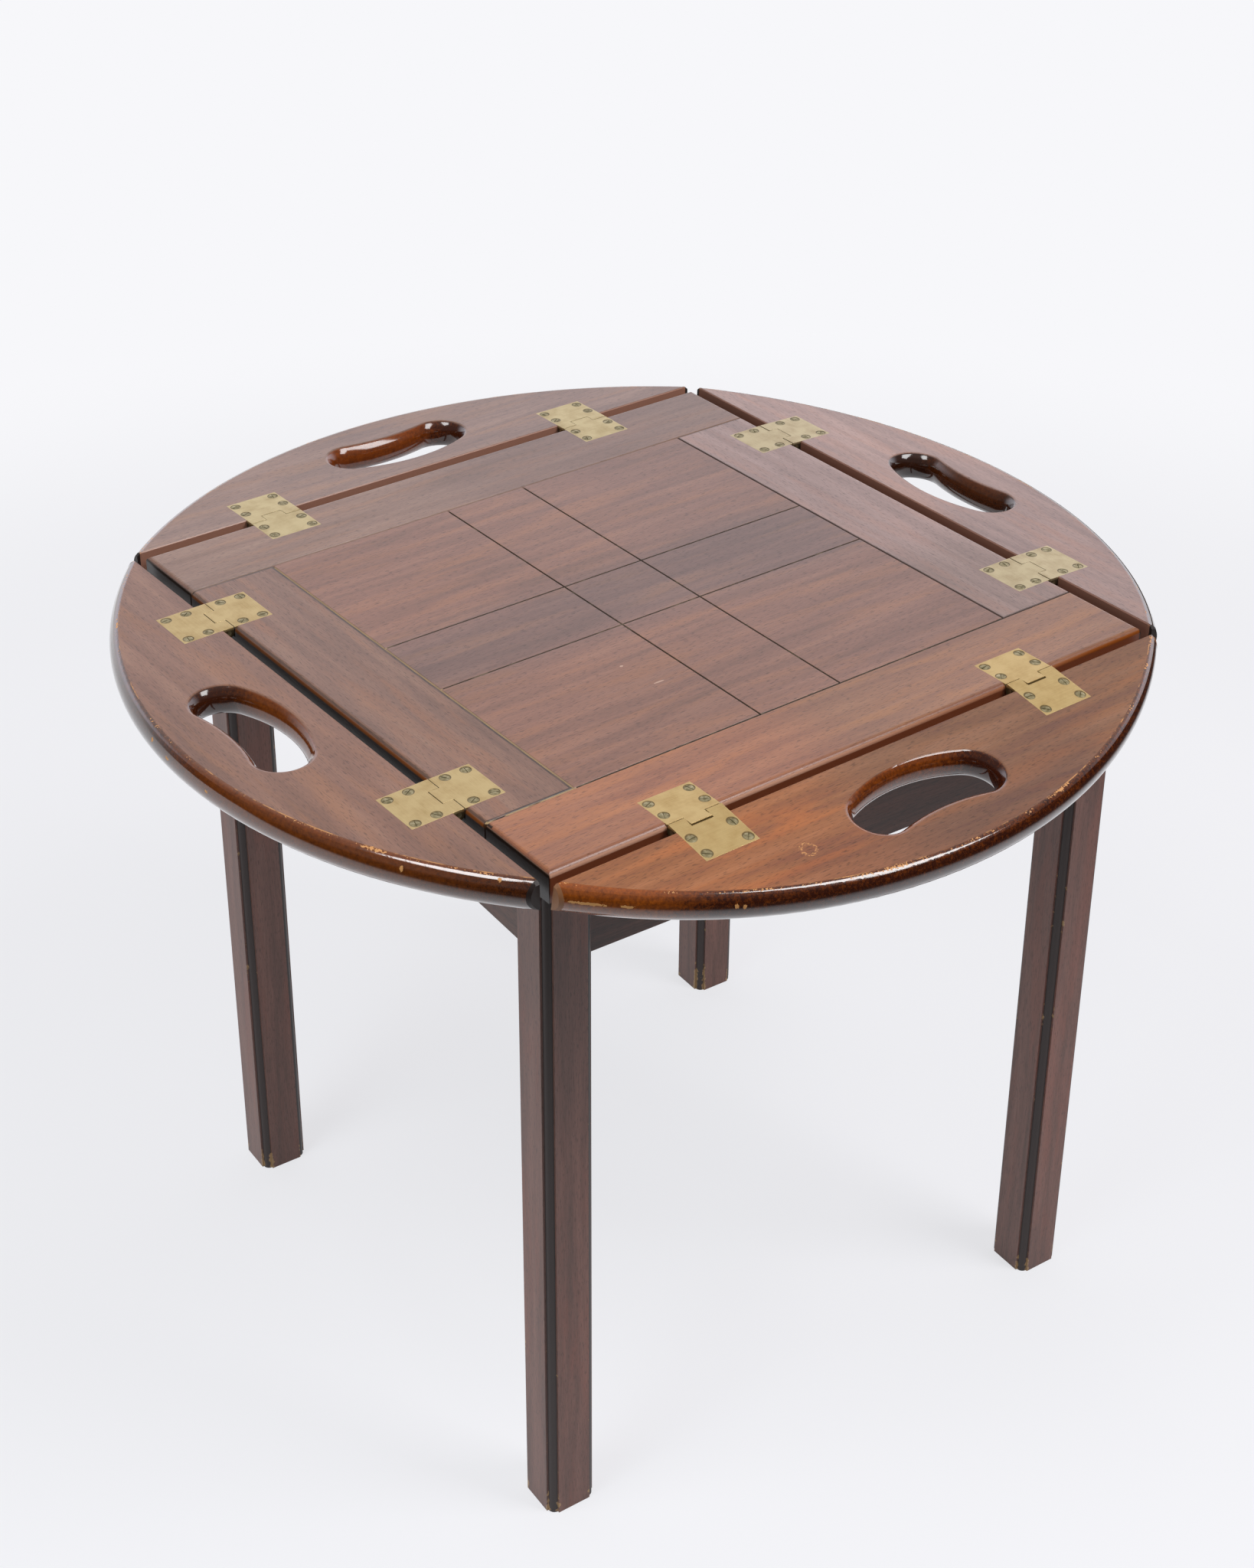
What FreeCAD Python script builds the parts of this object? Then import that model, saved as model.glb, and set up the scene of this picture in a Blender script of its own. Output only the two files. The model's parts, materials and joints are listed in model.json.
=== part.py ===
"""Butler's tray table: a loose square tray with four hinged leaves, on a stand with four moulded legs.

Millimetres and degrees. +Z is up and the origin is on the floor under the centre of the tray.
+X runs along the tray's two long rails, and -Y is the front.
"""
import FreeCAD, Part
import math
import os
import Sketcher

V = FreeCAD.Vector
doc = FreeCAD.newDocument("ButlersTrayTable")

SIZES = (
    # the top as a whole
    ("table_height", 520, "floor to the top of the tray"),
    ("tray_width", 463, "square tray, edge to edge"),
    ("top_thick", 20, "thickness of the rails and the leaves"),
    ("edge_round", 3.5, "round-over on the tray's outer top edge"),
    ("seam_bevel", 0.8, "bevel on each top edge along a seam"),
    # framed panel of the tray
    ("rail_width", 61.5, "width of the rails round the panel"),
    ("panel_thick", 14, "thickness of the panel"),
    ("tongue_length", 6, "tongue round the panel, and stub tenons of the short rails"),
    ("tongue_thick", 6, "thickness of the tongue"),
    ("tongue_drop", 5, "top of the tray to the top of the tongue"),
    ("tongue_slack", 0.4, "room past the end of a tongue"),
    ("tenon_stop", 15, "outer edge of the tray to the end of the groove"),
    ("line_spacing", 63, "between the two cut lines on the panel"),
    ("line_width", 1.4, "width of a cut line"),
    ("line_depth", 1.0, "depth of a cut line"),
    # leaves
    ("leaf_depth", 94.6, "hinge axis to the leaf's top edge, on its centre line"),
    ("leaf_round", 345, "radius of the leaf's top edge"),
    ("tip_over", 2.5, "tips of a leaf past the tray's corners, and the bevel on them"),
    ("rim_bulge", 5, "swell of the moulded edge past its two arrises"),
    ("rim_arris", 5, "round on the upper of those arrises"),
    ("under_arris", 2, "round on the lower one"),
    ("grip_span", 73, "between the centres of the handle hole's two ends"),
    ("grip_end", 20, "radius of the handle hole's ends"),
    ("grip_out", 48.5, "hinge axis to the centres of those ends"),
    ("grip_near_round", 110, "radius of the handle hole's side towards the tray"),
    ("grip_far_round", 130, "radius of the handle hole's side towards the rim"),
    ("grip_arris", 3, "round on the handle hole's two arrises"),
    # hinges
    ("hinge_gap", 7.8, "tray edge to leaf edge"),
    ("hinge_length", 63.5, "hinge, open, across the gap"),
    ("hinge_width", 38.1, "hinge, along the gap"),
    ("hinge_margin", 19.75, "end of the short rails to a hinge"),
    ("plate_thick", 2.4, "thickness of a hinge plate"),
    ("knuckle_radius", 3.6, "radius of the knuckles, and depth of their axis"),
    ("tab_width", 15, "middle knuckle"),
    ("tab_reach", 3.4, "flat top of a knuckle past the axis"),
    ("swing_gap", 0.3, "clearance round what turns"),
    ("pin_radius", 1.5, "hinge pin"),
    ("pin_play", 0.05, "running fit of the pin"),
    ("screw_head", 6.4, "diameter of a screw's head"),
    ("screw_core", 2.4, "diameter of a screw's shank"),
    ("screw_length", 12, "length of a screw"),
    ("screw_play", 0.1, "clearance round a screw"),
    ("screw_gauge", 29.4, "between screws along the gap"),
    ("screw_near", 12.5, "hinge axis to the first row of screws"),
    ("screw_far", 26.8, "hinge axis to the second row of screws"),
    # stand
    ("tray_clearance", 0.6, "between the stand and the tray that rests on it"),
    ("stand_inset", 12.5, "tray edge to the stand's outer face"),
    ("leg_width", 35, "square leg"),
    ("leg_notch", 5.7, "square notch along each corner of a leg"),
    ("leg_step", 1.3, "setback of the round bead from the leg's faces"),
    ("apron_height", 69.5, "height of the aprons"),
    ("apron_thick", 20, "thickness of the aprons"),
    ("apron_bevel", 1.0, "bevel on the aprons' lower edges"),
    ("tenon_length", 10, "apron tenon"),
    ("tenon_thick", 8, "apron tenon"),
    ("tenon_shoulder", 9, "apron edge to tenon edge, above and below"),
    # how the loose parts lie
    ("stand_turn_angle", -2.96, "stand turned under the tray"),
    ("stand_shift_x", 10.6, "stand off centre"),
    ("stand_shift_y", -2.1, "stand off centre"),
    ("back_droop_angle", 1.2, "back leaf below level"),
    ("left_droop_angle", 1.2, "left leaf below level"),
    ("front_droop_angle", 9.3, "front leaf below level"),
    ("right_droop_angle", 2.6, "right leaf below level"),
)

sheet = doc.addObject("Spreadsheet::Sheet", "Sizes")
for row, (name, number, meaning) in enumerate(SIZES, 1):
    sheet.set("A%d" % row, meaning)
    sheet.set("B%d" % row, str(number))
    sheet.setAlias("B%d" % row, name)
doc.recompute()

# Lengths that several pieces share, as expressions on the sheet.
TRAY_EDGE = "Sizes.tray_width / 2"
PANEL_EDGE = "(Sizes.tray_width / 2 - Sizes.rail_width)"
AXIS = "(Sizes.tray_width / 2 + Sizes.hinge_gap / 2)"
LEAF_EDGE = "(Sizes.tray_width / 2 + Sizes.hinge_gap)"
LEAF_CROWN = f"({AXIS} + Sizes.leaf_depth)"
ARC_CENTRE = f"({LEAF_CROWN} - Sizes.leaf_round)"
LEAF_TIP = "(Sizes.tray_width / 2 + Sizes.tip_over)"
HINGE_AT = f"({PANEL_EDGE} - Sizes.hinge_margin - Sizes.hinge_width / 2)"
RIM_ROUND = "((Sizes.top_thick ^ 2 / 4 + Sizes.rim_bulge ^ 2) / (2 * Sizes.rim_bulge))"
SWING = "(sqrt(Sizes.tab_reach ^ 2 + Sizes.knuckle_radius ^ 2) + Sizes.swing_gap)"
BORE = "Sizes.pin_radius + Sizes.pin_play"
TONGUE_TOP = "-Sizes.tongue_drop"
TONGUE_BOTTOM = "-(Sizes.tongue_drop + Sizes.tongue_thick)"
STAND_HALF = "(Sizes.tray_width / 2 - Sizes.stand_inset)"
LEG_CENTRE = f"({STAND_HALF} - Sizes.leg_width / 2)"
LEG_LENGTH = "(Sizes.table_height - Sizes.top_thick - Sizes.tray_clearance)"
APRON_HALF = f"({STAND_HALF} - Sizes.leg_width)"
SIDES = ("back", "left", "front", "right")
CORNERS = ("back_right", "back_left", "front_left", "front_right")

nodes = []


def value(text):
    """The number that an expression on the sheet gives now."""
    return float(sheet.evalExpression(text))


def shift(x, y, z):
    """Expression for a move without a turn."""
    return f"placement(vector({x}; {y}; {z}); rotation(vector(0; 0; 1); 0))"


def on_side(side):
    """Expression that takes a piece drawn for the back, with its top at zero, to one side of the tray."""
    turn = 90 * SIDES.index(side)
    return f"placement(vector(0; 0; Sizes.table_height); rotation(vector(0; 0; 1); {turn}))"


def on_leaf(side):
    """The same for what a leaf carries: the leaf turns down about its hinge axis."""
    droop = f"rotation(vector(1; 0; 0); -Sizes.{side}_droop_angle)"
    about = f"vector(0; {AXIS}; -Sizes.knuckle_radius)"
    return f"{on_side(side)} * placement(vector(0; 0; 0); {droop}; {about})"


def on_stand(quarter, x, y, z):
    """Expression for a piece of the stand, which lies a little turned and off centre."""
    turn = f"rotation(vector(0; 0; 1); Sizes.stand_turn_angle + {90 * quarter})"
    return f"placement(vector(Sizes.stand_shift_x; Sizes.stand_shift_y; 0); {turn}) * {shift(x, y, z)}"


def new_body(label, place):
    """A body with its own label and a placement bound to the sheet."""
    body = doc.addObject("PartDesign::Body", label)
    body.Label = label
    body.setExpression("Placement", place)
    nodes.append(body)
    return body


def origin(body, role):
    """One of the body's own origin planes or axes."""
    return next(f for f in body.Origin.OriginFeatures if f.Role == role)


def new_sketch(body, name, plane, along="0", across="0"):
    """A sketch on an origin plane, moved along the plane's normal and its first direction."""
    sketch = body.newObject("Sketcher::SketchObject", name)
    sketch.AttachmentSupport = [(origin(body, plane), "")]
    sketch.MapMode = "FlatFace"
    sketch.setExpression("AttachmentOffset.Base.z", along)
    sketch.setExpression("AttachmentOffset.Base.x", across)
    return sketch


def hold(sketch, kind, where, text):
    """A constraint whose number is bound to an expression."""
    index = sketch.addConstraint(Sketcher.Constraint(kind, *where, value(text)))
    sketch.setExpression("Constraints[%d]" % index, text)


def hold_point(sketch, geometry, point, x, y):
    """Fixes one point of a sketch by its two coordinates."""
    hold(sketch, "DistanceX", (-1, 1, geometry, point), x)
    hold(sketch, "DistanceY", (-1, 1, geometry, point), y)


def outline(sketch, points, swell=None):
    """A closed outline through points. swell names one side by number, and makes it an arc past that side."""
    at = [V(value(x), value(y), 0) for x, y in points]
    count = len(points)
    first = sketch.GeometryCount
    for i in range(count):
        start, end = at[i], at[(i + 1) % count]
        if i == swell:
            crown = (start + end) / 2 + V(value("Sizes.rim_bulge"), 0, 0)
            sketch.addGeometry(Part.Arc(start, crown, end), False)
        else:
            sketch.addGeometry(Part.LineSegment(start, end), False)
    # An arc always runs anticlockwise, so one drawn downwards has its two ends the other way round.
    ends = [(2, 1) if i == swell else (1, 2) for i in range(count)]
    for i in range(count):
        after = (i + 1) % count
        sketch.addConstraint(Sketcher.Constraint("Coincident", first + i, ends[i][1], first + after, ends[after][0]))
        hold_point(sketch, first + i, ends[i][0], *points[i])
    if swell is not None:
        hold(sketch, "Radius", (first + swell,), RIM_ROUND)


def rectangle(sketch, left, bottom, right, top):
    """A rectangle between four expressions."""
    outline(sketch, [(left, bottom), (right, bottom), (right, top), (left, top)])


def circle(sketch, x, y, radius):
    """A circle held by its centre and radius."""
    index = sketch.addGeometry(Part.Circle(V(value(x), value(y), 0), V(0, 0, 1), value(radius)), False)
    hold_point(sketch, index, 3, x, y)
    hold(sketch, "Radius", (index,), radius)


def extrude(body, kind, name, sketch, length, way="One side", reverse=False):
    """A Pad or a Pocket. A pad runs along the sketch's normal and a pocket against it, unless reversed."""
    feature = body.newObject("PartDesign::" + kind, name)
    feature.Profile = sketch
    feature.SideType = way
    feature.Reversed = reverse
    feature.setExpression("Length", length)
    return feature


def revolve(body, name, sketch, angle, symmetric=False):
    """A solid turned about the sketch's vertical axis."""
    feature = body.newObject("PartDesign::Revolution", name)
    feature.Profile = sketch
    feature.ReferenceAxis = (sketch, ["V_Axis"])
    feature.Angle = angle
    feature.Midplane = symmetric
    return feature


def polar(body, name, features, angle, count):
    """Copies of features turned about the body's vertical axis."""
    pattern = body.newObject("PartDesign::PolarPattern", name)
    pattern.Originals = features
    pattern.Axis = (origin(body, "Z_Axis"), [""])
    pattern.Angle = angle
    pattern.Occurrences = count
    body.Tip = pattern
    return pattern


def mirror(body, name, features):
    """Copies of features on the other side of the piece's middle."""
    pattern = body.newObject("PartDesign::Mirrored", name)
    pattern.Originals = features
    pattern.MirrorPlane = (origin(body, "YZ_Plane"), [""])
    body.Tip = pattern
    return pattern


def dress(body, kind, name, size, test):
    """A Fillet or a Chamfer on the edges of the last feature whose ends and middle all pass a test."""
    doc.recompute()
    base = body.Tip
    picked = []
    for number, edge in enumerate(base.Shape.Edges, 1):
        middle = edge.valueAt((edge.FirstParameter + edge.LastParameter) / 2)
        if all(test(p) for p in [middle] + [v.Point for v in edge.Vertexes]):
            picked.append("Edge%d" % number)
    feature = body.newObject("PartDesign::" + kind, name)
    feature.Base = (base, picked)
    feature.setExpression("Radius" if kind == "Fillet" else "Size", size)
    return feature


def screw_holes(body, name, sign, depth):
    """Four countersunk holes of one hinge plate, from the top down. sign is -1 on the tray, 1 on a leaf."""
    sketch = new_sketch(body, name + "Points", "XY_Plane")
    middle = "0" if depth is None else HINGE_AT
    for across in (-1, 1):
        for row in ("near", "far"):
            x = f"{middle} + {across} * Sizes.screw_gauge / 2"
            y = f"{AXIS} + {sign} * Sizes.screw_{row}"
            circle(sketch, x, y, "Sizes.screw_core / 2")
    doc.recompute()
    hole = body.newObject("PartDesign::Hole", name)
    hole.Profile = sketch
    hole.setExpression("Diameter", "Sizes.screw_core + 2 * Sizes.screw_play")
    hole.HoleCutType = "Countersink"
    hole.HoleCutCustomValues = True
    hole.setExpression("HoleCutDiameter", "Sizes.screw_head + 2 * Sizes.screw_play")
    hole.HoleCutCountersinkAngle = 90
    hole.DrillPoint = "Flat"
    hole.DepthType = "ThroughAll" if depth is None else "Dimension"
    if depth is not None:
        hole.setExpression("Depth", depth)
    return hole


def hinge_seats(body, sign):
    """Lets two hinges into the edge of a rail (sign -1) or a leaf (sign 1), flush with its top."""
    half = "Sizes.hinge_width / 2"
    far = f"{AXIS} + {sign} * Sizes.hinge_length / 2"
    flat = new_sketch(body, "SeatOutline", "XY_Plane")
    low, high = (far, AXIS) if sign < 0 else (AXIS, far)
    rectangle(flat, f"{HINGE_AT} - {half}", low, f"{HINGE_AT} + {half}", high)
    seat = extrude(body, "Pocket", "Seat", flat, "Sizes.plate_thick")
    round_ = new_sketch(body, "ReliefOutline", "YZ_Plane", along=HINGE_AT)
    circle(round_, AXIS, "-Sizes.knuckle_radius", f"{SWING} + Sizes.swing_gap")
    relief = extrude(body, "Pocket", "Relief", round_, "Sizes.hinge_width", way="Symmetric")
    holes = screw_holes(body, "Pilots", sign, "Sizes.screw_length + Sizes.screw_play")
    mirror(body, "OtherHinge", [seat, relief, holes])


def make_leg(corner):
    """A square leg. Every corner is a round bead sunk in a square notch; two faces have a mortise."""
    quarter = CORNERS.index(corner)
    body = new_body("leg_" + corner, on_stand(quarter, LEG_CENTRE, LEG_CENTRE, "0"))
    half = "Sizes.leg_width / 2"
    inner = f"({half} - Sizes.leg_notch)"
    square = new_sketch(body, "Square", "XY_Plane")
    rectangle(square, f"-{half}", f"-{half}", half, half)
    extrude(body, "Pad", "Blank", square, LEG_LENGTH)
    corner_cut = new_sketch(body, "NotchOutline", "XY_Plane")
    rectangle(corner_cut, inner, inner, half, half)
    notch = extrude(body, "Pocket", "Notch", corner_cut, LEG_LENGTH, reverse=True)
    bead_end = new_sketch(body, "BeadOutline", "XY_Plane")
    circle(bead_end, inner, inner, "Sizes.leg_notch - Sizes.leg_step")
    bead = extrude(body, "Pad", "Bead", bead_end, LEG_LENGTH)
    polar(body, "FourCorners", [notch, bead], 360, 4)
    mouth = new_sketch(body, "MortiseOutline", "YZ_Plane", along=f"Sizes.tenon_length - {half}")
    low = f"{LEG_LENGTH} - Sizes.apron_height + Sizes.tenon_shoulder"
    rectangle(mouth, "-Sizes.tenon_thick / 2", low, "Sizes.tenon_thick / 2", f"{LEG_LENGTH} - Sizes.tenon_shoulder")
    mortise = extrude(body, "Pocket", "Mortise", mouth, "Sizes.tenon_length")
    polar(body, "TwoMortises", [mortise], 90, 2)


def make_apron(side):
    """A plain apron, tenoned at both ends into the legs on their centre line."""
    quarter = SIDES.index(side)
    body = new_body("apron_" + side, on_stand(quarter, "0", LEG_CENTRE, LEG_LENGTH))
    board = new_sketch(body, "Board", "XZ_Plane")
    rectangle(board, f"-{APRON_HALF}", "-Sizes.apron_height", APRON_HALF, "0")
    extrude(body, "Pad", "Blank", board, "Sizes.apron_thick", way="Symmetric")
    bottom = -value("Sizes.apron_height")
    dress(body, "Chamfer", "LowerEdges", "Sizes.apron_bevel", lambda p: abs(p.z - bottom) < 0.01 and abs(p.y) > 0.01)
    tongue = new_sketch(body, "TenonOutline", "XZ_Plane")
    end = f"({APRON_HALF} + Sizes.tenon_length)"
    rectangle(tongue, f"-{end}", "Sizes.tenon_shoulder - Sizes.apron_height", end, "-Sizes.tenon_shoulder")
    extrude(body, "Pad", "Tenons", tongue, "Sizes.tenon_thick", way="Symmetric")


def make_panel():
    """The tray's panel: a tongue on all four edges, and two pairs of cut lines that cross."""
    body = new_body("tray_panel", on_side("back"))
    square = new_sketch(body, "Square", "XY_Plane")
    rectangle(square, f"-{PANEL_EDGE}", f"-{PANEL_EDGE}", PANEL_EDGE, PANEL_EDGE)
    extrude(body, "Pad", "Board", square, "Sizes.panel_thick", reverse=True)
    dress(body, "Chamfer", "SeamBevel", "Sizes.seam_bevel", lambda p: abs(p.z) < 0.01)
    wide = new_sketch(body, "TongueOutline", "XY_Plane", along=TONGUE_TOP)
    end = f"({PANEL_EDGE} + Sizes.tongue_length)"
    rectangle(wide, f"-{end}", f"-{end}", end, end)
    extrude(body, "Pad", "Tongue", wide, "Sizes.tongue_thick", reverse=True)
    veins = new_sketch(body, "LineOutline", "XZ_Plane")
    for sign in (-1, 1):
        middle = f"{sign} * Sizes.line_spacing / 2"
        wide_at = [(f"{middle} + {s} * Sizes.line_width / 2", "0") for s in (-1, 1)]
        outline(veins, wide_at + [(middle, "-Sizes.line_depth")])
    lines = extrude(body, "Pocket", "Lines", veins, f"2 * {PANEL_EDGE}", way="Symmetric")
    polar(body, "CrossLines", [lines], 90, 2)


def make_rail(side):
    """A rail of the tray's frame. The two along X run through; the others are stub-tenoned between them."""
    through = side in ("back", "front")
    end = TRAY_EDGE if through else PANEL_EDGE
    body = new_body("tray_rail_" + side, on_side(side))
    board = new_sketch(body, "Board", "XY_Plane")
    rectangle(board, f"-{end}", PANEL_EDGE, end, TRAY_EDGE)
    extrude(body, "Pad", "Blank", board, "Sizes.top_thick", reverse=True)
    inner, outer, tip = value(PANEL_EDGE), value(TRAY_EDGE), value(end)

    def at_outer(p):
        return abs(p.y - outer) < 0.01

    def at_end(p):
        return abs(abs(p.x) - tip) < 0.01

    def at_inner(p):
        return abs(p.y - inner) < 0.01

    def round_edge(p):
        return abs(p.z) < 0.01 and (at_outer(p) or (through and at_end(p)))

    def seam_edge(p):
        return abs(p.z) < 0.01 and (at_inner(p) or (not through and at_end(p)))

    dress(body, "Fillet", "RoundOver", "Sizes.edge_round", round_edge)
    dress(body, "Chamfer", "SeamBevel", "Sizes.seam_bevel", seam_edge)
    deep = f"{PANEL_EDGE} + Sizes.tongue_length + Sizes.tongue_slack"
    if not through:
        tenon = new_sketch(body, "TenonOutline", "XY_Plane", along=TONGUE_TOP)
        reach = f"({PANEL_EDGE} + Sizes.tongue_length)"
        rectangle(tenon, f"-{reach}", deep, reach, f"{TRAY_EDGE} - Sizes.tenon_stop")
        extrude(body, "Pad", "Tenons", tenon, "Sizes.tongue_thick", reverse=True)
    slot = new_sketch(body, "GrooveOutline", "YZ_Plane")
    rectangle(slot, PANEL_EDGE, TONGUE_BOTTOM, deep, TONGUE_TOP)
    length = f"2 * ({TRAY_EDGE} - Sizes.tenon_stop)" if through else f"2 * {PANEL_EDGE}"
    extrude(body, "Pocket", "PanelGroove", slot, length, way="Symmetric")
    hinge_seats(body, -1)


def arc(sketch, centre, radius, start, end):
    """An arc that runs anticlockwise from one point to another."""
    angles = [math.atan2(p.y - centre.y, p.x - centre.x) for p in (start, end)]
    if angles[1] < angles[0]:
        angles[1] += 2 * math.pi
    return sketch.addGeometry(Part.ArcOfCircle(Part.Circle(centre, V(0, 0, 1), radius), *angles), False)


def grip_outline(sketch):
    """The kidney outline of a handle hole: two round ends, joined by two wide arcs that touch them."""
    half, out = value("Sizes.grip_span / 2"), value(f"{AXIS} + Sizes.grip_out")
    small, near, far = (value("Sizes." + n) for n in ("grip_end", "grip_near_round", "grip_far_round"))
    right, left = V(half, out, 0), V(-half, out, 0)
    near_centre = V(0, out + math.sqrt((near - small) ** 2 - half ** 2), 0)
    far_centre = V(0, out + math.sqrt((far + small) ** 2 - half ** 2), 0)
    foot = near_centre - V(0, near, 0)
    near_right = near_centre + (right - near_centre) * (near / (near - small))
    near_left = near_centre + (left - near_centre) * (near / (near - small))
    far_right = far_centre + (right - far_centre) * (far / (far + small))
    far_left = far_centre + (left - far_centre) * (far / (far + small))
    arc(sketch, near_centre, near, foot, near_right)
    arc(sketch, right, small, near_right, far_right)
    arc(sketch, far_centre, far, far_left, far_right)
    arc(sketch, left, small, far_left, near_left)
    arc(sketch, near_centre, near, near_left, foot)
    for joint in ((0, 2, 1, 1), (1, 2, 2, 2), (2, 1, 3, 1), (3, 2, 4, 1)):
        sketch.addConstraint(Sketcher.Constraint("Tangent", *joint))
    sketch.addConstraint(Sketcher.Constraint("Coincident", 4, 2, 0, 1))
    sketch.addConstraint(Sketcher.Constraint("Coincident", 4, 3, 0, 3))
    sketch.addConstraint(Sketcher.Constraint("PointOnObject", 0, 1, -2))
    hold_point(sketch, 1, 3, "Sizes.grip_span / 2", f"{AXIS} + Sizes.grip_out")
    hold_point(sketch, 3, 3, "-Sizes.grip_span / 2", f"{AXIS} + Sizes.grip_out")
    for index, size in ((0, "near_round"), (1, "end"), (2, "far_round"), (3, "end")):
        hold(sketch, "Radius", (index,), "Sizes.grip_" + size)


def make_leaf(side):
    """A leaf: a segment of the round top, with a swelling edge round its rim and round its handle hole."""
    body = new_body("leaf_" + side, on_leaf(side))
    section = new_sketch(body, "RimSection", "YZ_Plane", across=ARC_CENTRE)
    inner, bottom = f"{TRAY_EDGE} - {ARC_CENTRE}", "-Sizes.top_thick"
    outline(section, [(inner, "0"), ("Sizes.leaf_round", "0"), ("Sizes.leaf_round", bottom), (inner, bottom)], swell=1)
    revolve(body, "Round", section, 100, symmetric=True)
    past = f"({LEAF_CROWN} + 2 * Sizes.rim_bulge)"
    trim = new_sketch(body, "TrimOutline", "XY_Plane")
    inside = [(LEAF_TIP, past), (LEAF_TIP, LEAF_EDGE), (f"-{LEAF_TIP}", LEAF_EDGE), (f"-{LEAF_TIP}", past)]
    outline(trim, [(f"-{past}", "0"), (past, "0"), (past, past)] + inside + [(f"-{past}", past)])
    extrude(body, "Pocket", "Trim", trim, "Sizes.top_thick")
    edge, centre, rim = value(LEAF_EDGE), value(ARC_CENTRE), value("Sizes.leaf_round")

    def at_rim(p):
        return abs(math.hypot(p.x, p.y - centre) - rim) < 0.01

    dress(body, "Fillet", "RimArris", "Sizes.rim_arris", lambda p: at_rim(p) and abs(p.z) < 0.01)
    dress(body, "Fillet", "UnderArris", "Sizes.under_arris", at_rim)
    dress(body, "Chamfer", "SeamBevel", "Sizes.seam_bevel", lambda p: abs(p.z) < 0.01 and abs(p.y - edge) < 0.01)
    ends = new_sketch(body, "TipBevel", "XZ_Plane")
    for sign in ("", "-"):
        start, end = f"{sign}{TRAY_EDGE}", f"{sign}({LEAF_TIP} + Sizes.tip_over)"
        outline(ends, [(start, "0"), (end, "0"), (end, "-2 * Sizes.tip_over")])
    extrude(body, "Pocket", "Tips", ends, past)
    hole = new_sketch(body, "GripOutline", "XY_Plane")
    grip_outline(hole)
    extrude(body, "Pocket", "Grip", hole, "Sizes.top_thick")
    swell = new_sketch(body, "GripSection", "YZ_Plane")
    chord = "sqrt((Sizes.grip_near_round - Sizes.grip_end) ^ 2 - Sizes.grip_span ^ 2 / 4)"
    near = f"({AXIS} + Sizes.grip_out + {chord} - Sizes.grip_near_round)"
    behind = f"{near} - Sizes.rim_bulge / 2"
    outline(swell, [(behind, "0"), (near, "0"), (near, "-Sizes.top_thick"), (behind, "-Sizes.top_thick")], swell=1)
    doc.recompute()
    bead = body.newObject("PartDesign::AdditivePipe", "GripEdge")
    bead.Profile = swell
    bead.Spine = (hole, ["Edge%d" % (i + 1) for i in range(5)])
    grip, lift = hole.Shape.BoundBox, V(0, 0, value("Sizes.top_thick"))
    grip.enlarge(0.1)
    dress(body, "Fillet", "GripArrises", "Sizes.grip_arris", lambda p: grip.isInside(p) or grip.isInside(p + lift))
    hinge_seats(body, 1)


def make_plate(label, place, sign):
    """One half of a hinge. The tray's half (sign -1) has the middle knuckle, a leaf's (sign 1) the two outer ones."""
    body = new_body(label, place)
    half, tab = "Sizes.hinge_width / 2", "Sizes.tab_width / 2"
    slit = f"({tab} + Sizes.swing_gap)"
    far = f"{AXIS} + {sign} * Sizes.hinge_length / 2"
    near = f"{AXIS} + {sign} * (Sizes.knuckle_radius + Sizes.swing_gap)"
    over = f"{AXIS} - {sign} * Sizes.tab_reach"
    if sign < 0:
        shape = [(f"-{half}", far), (half, far), (half, near), (tab, near), (tab, over)]
        shape += [(f"-{tab}", over), (f"-{tab}", near), (f"-{half}", near)]
    else:
        shape = [(f"-{half}", far), (f"-{half}", over), (f"-{slit}", over), (f"-{slit}", near)]
        shape += [(slit, near), (slit, over), (half, over), (half, far)]
    flat = new_sketch(body, "PlateOutline", "XY_Plane")
    outline(flat, shape)
    extrude(body, "Pad", "Plate", flat, "Sizes.plate_thick", reverse=True)
    start = "0" if sign < 0 else slit
    barrel = new_sketch(body, "KnuckleOutline", "YZ_Plane", along=start)
    circle(barrel, AXIS, "-Sizes.knuckle_radius", "Sizes.knuckle_radius")
    clear_start = tab if sign < 0 else "0"
    clear = new_sketch(body, "ReliefOutline", "YZ_Plane", along=clear_start)
    circle(clear, AXIS, "-Sizes.knuckle_radius", SWING)
    if sign < 0:
        relief = extrude(body, "Pocket", "Relief", clear, f"{half} - {tab}", reverse=True)
        mirror(body, "BothReliefs", [relief])
        extrude(body, "Pad", "Knuckle", barrel, "Sizes.tab_width", way="Symmetric")
    else:
        extrude(body, "Pocket", "Relief", clear, f"2 * {slit}", way="Symmetric")
        knuckle = extrude(body, "Pad", "Knuckle", barrel, f"{half} - {slit}")
        mirror(body, "BothKnuckles", [knuckle])
    bore = new_sketch(body, "BoreOutline", "YZ_Plane")
    circle(bore, AXIS, "-Sizes.knuckle_radius", BORE)
    extrude(body, "Pocket", "Bore", bore, "Sizes.hinge_width", way="Symmetric")
    screw_holes(body, "ScrewHoles", sign, None)


def make_pin(label, place):
    """The pin that a hinge's knuckles share."""
    pin = doc.addObject("Part::Cylinder", label)
    pin.Label = label
    pin.setExpression("Radius", "Sizes.pin_radius")
    pin.setExpression("Height", "Sizes.hinge_width")
    turn = "rotation(vector(0; 1; 0); 90)"
    pin.setExpression("Placement", f"{place} * placement(vector(-Sizes.hinge_width / 2; {AXIS}; -Sizes.knuckle_radius); {turn})")
    nodes.append(pin)


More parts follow.
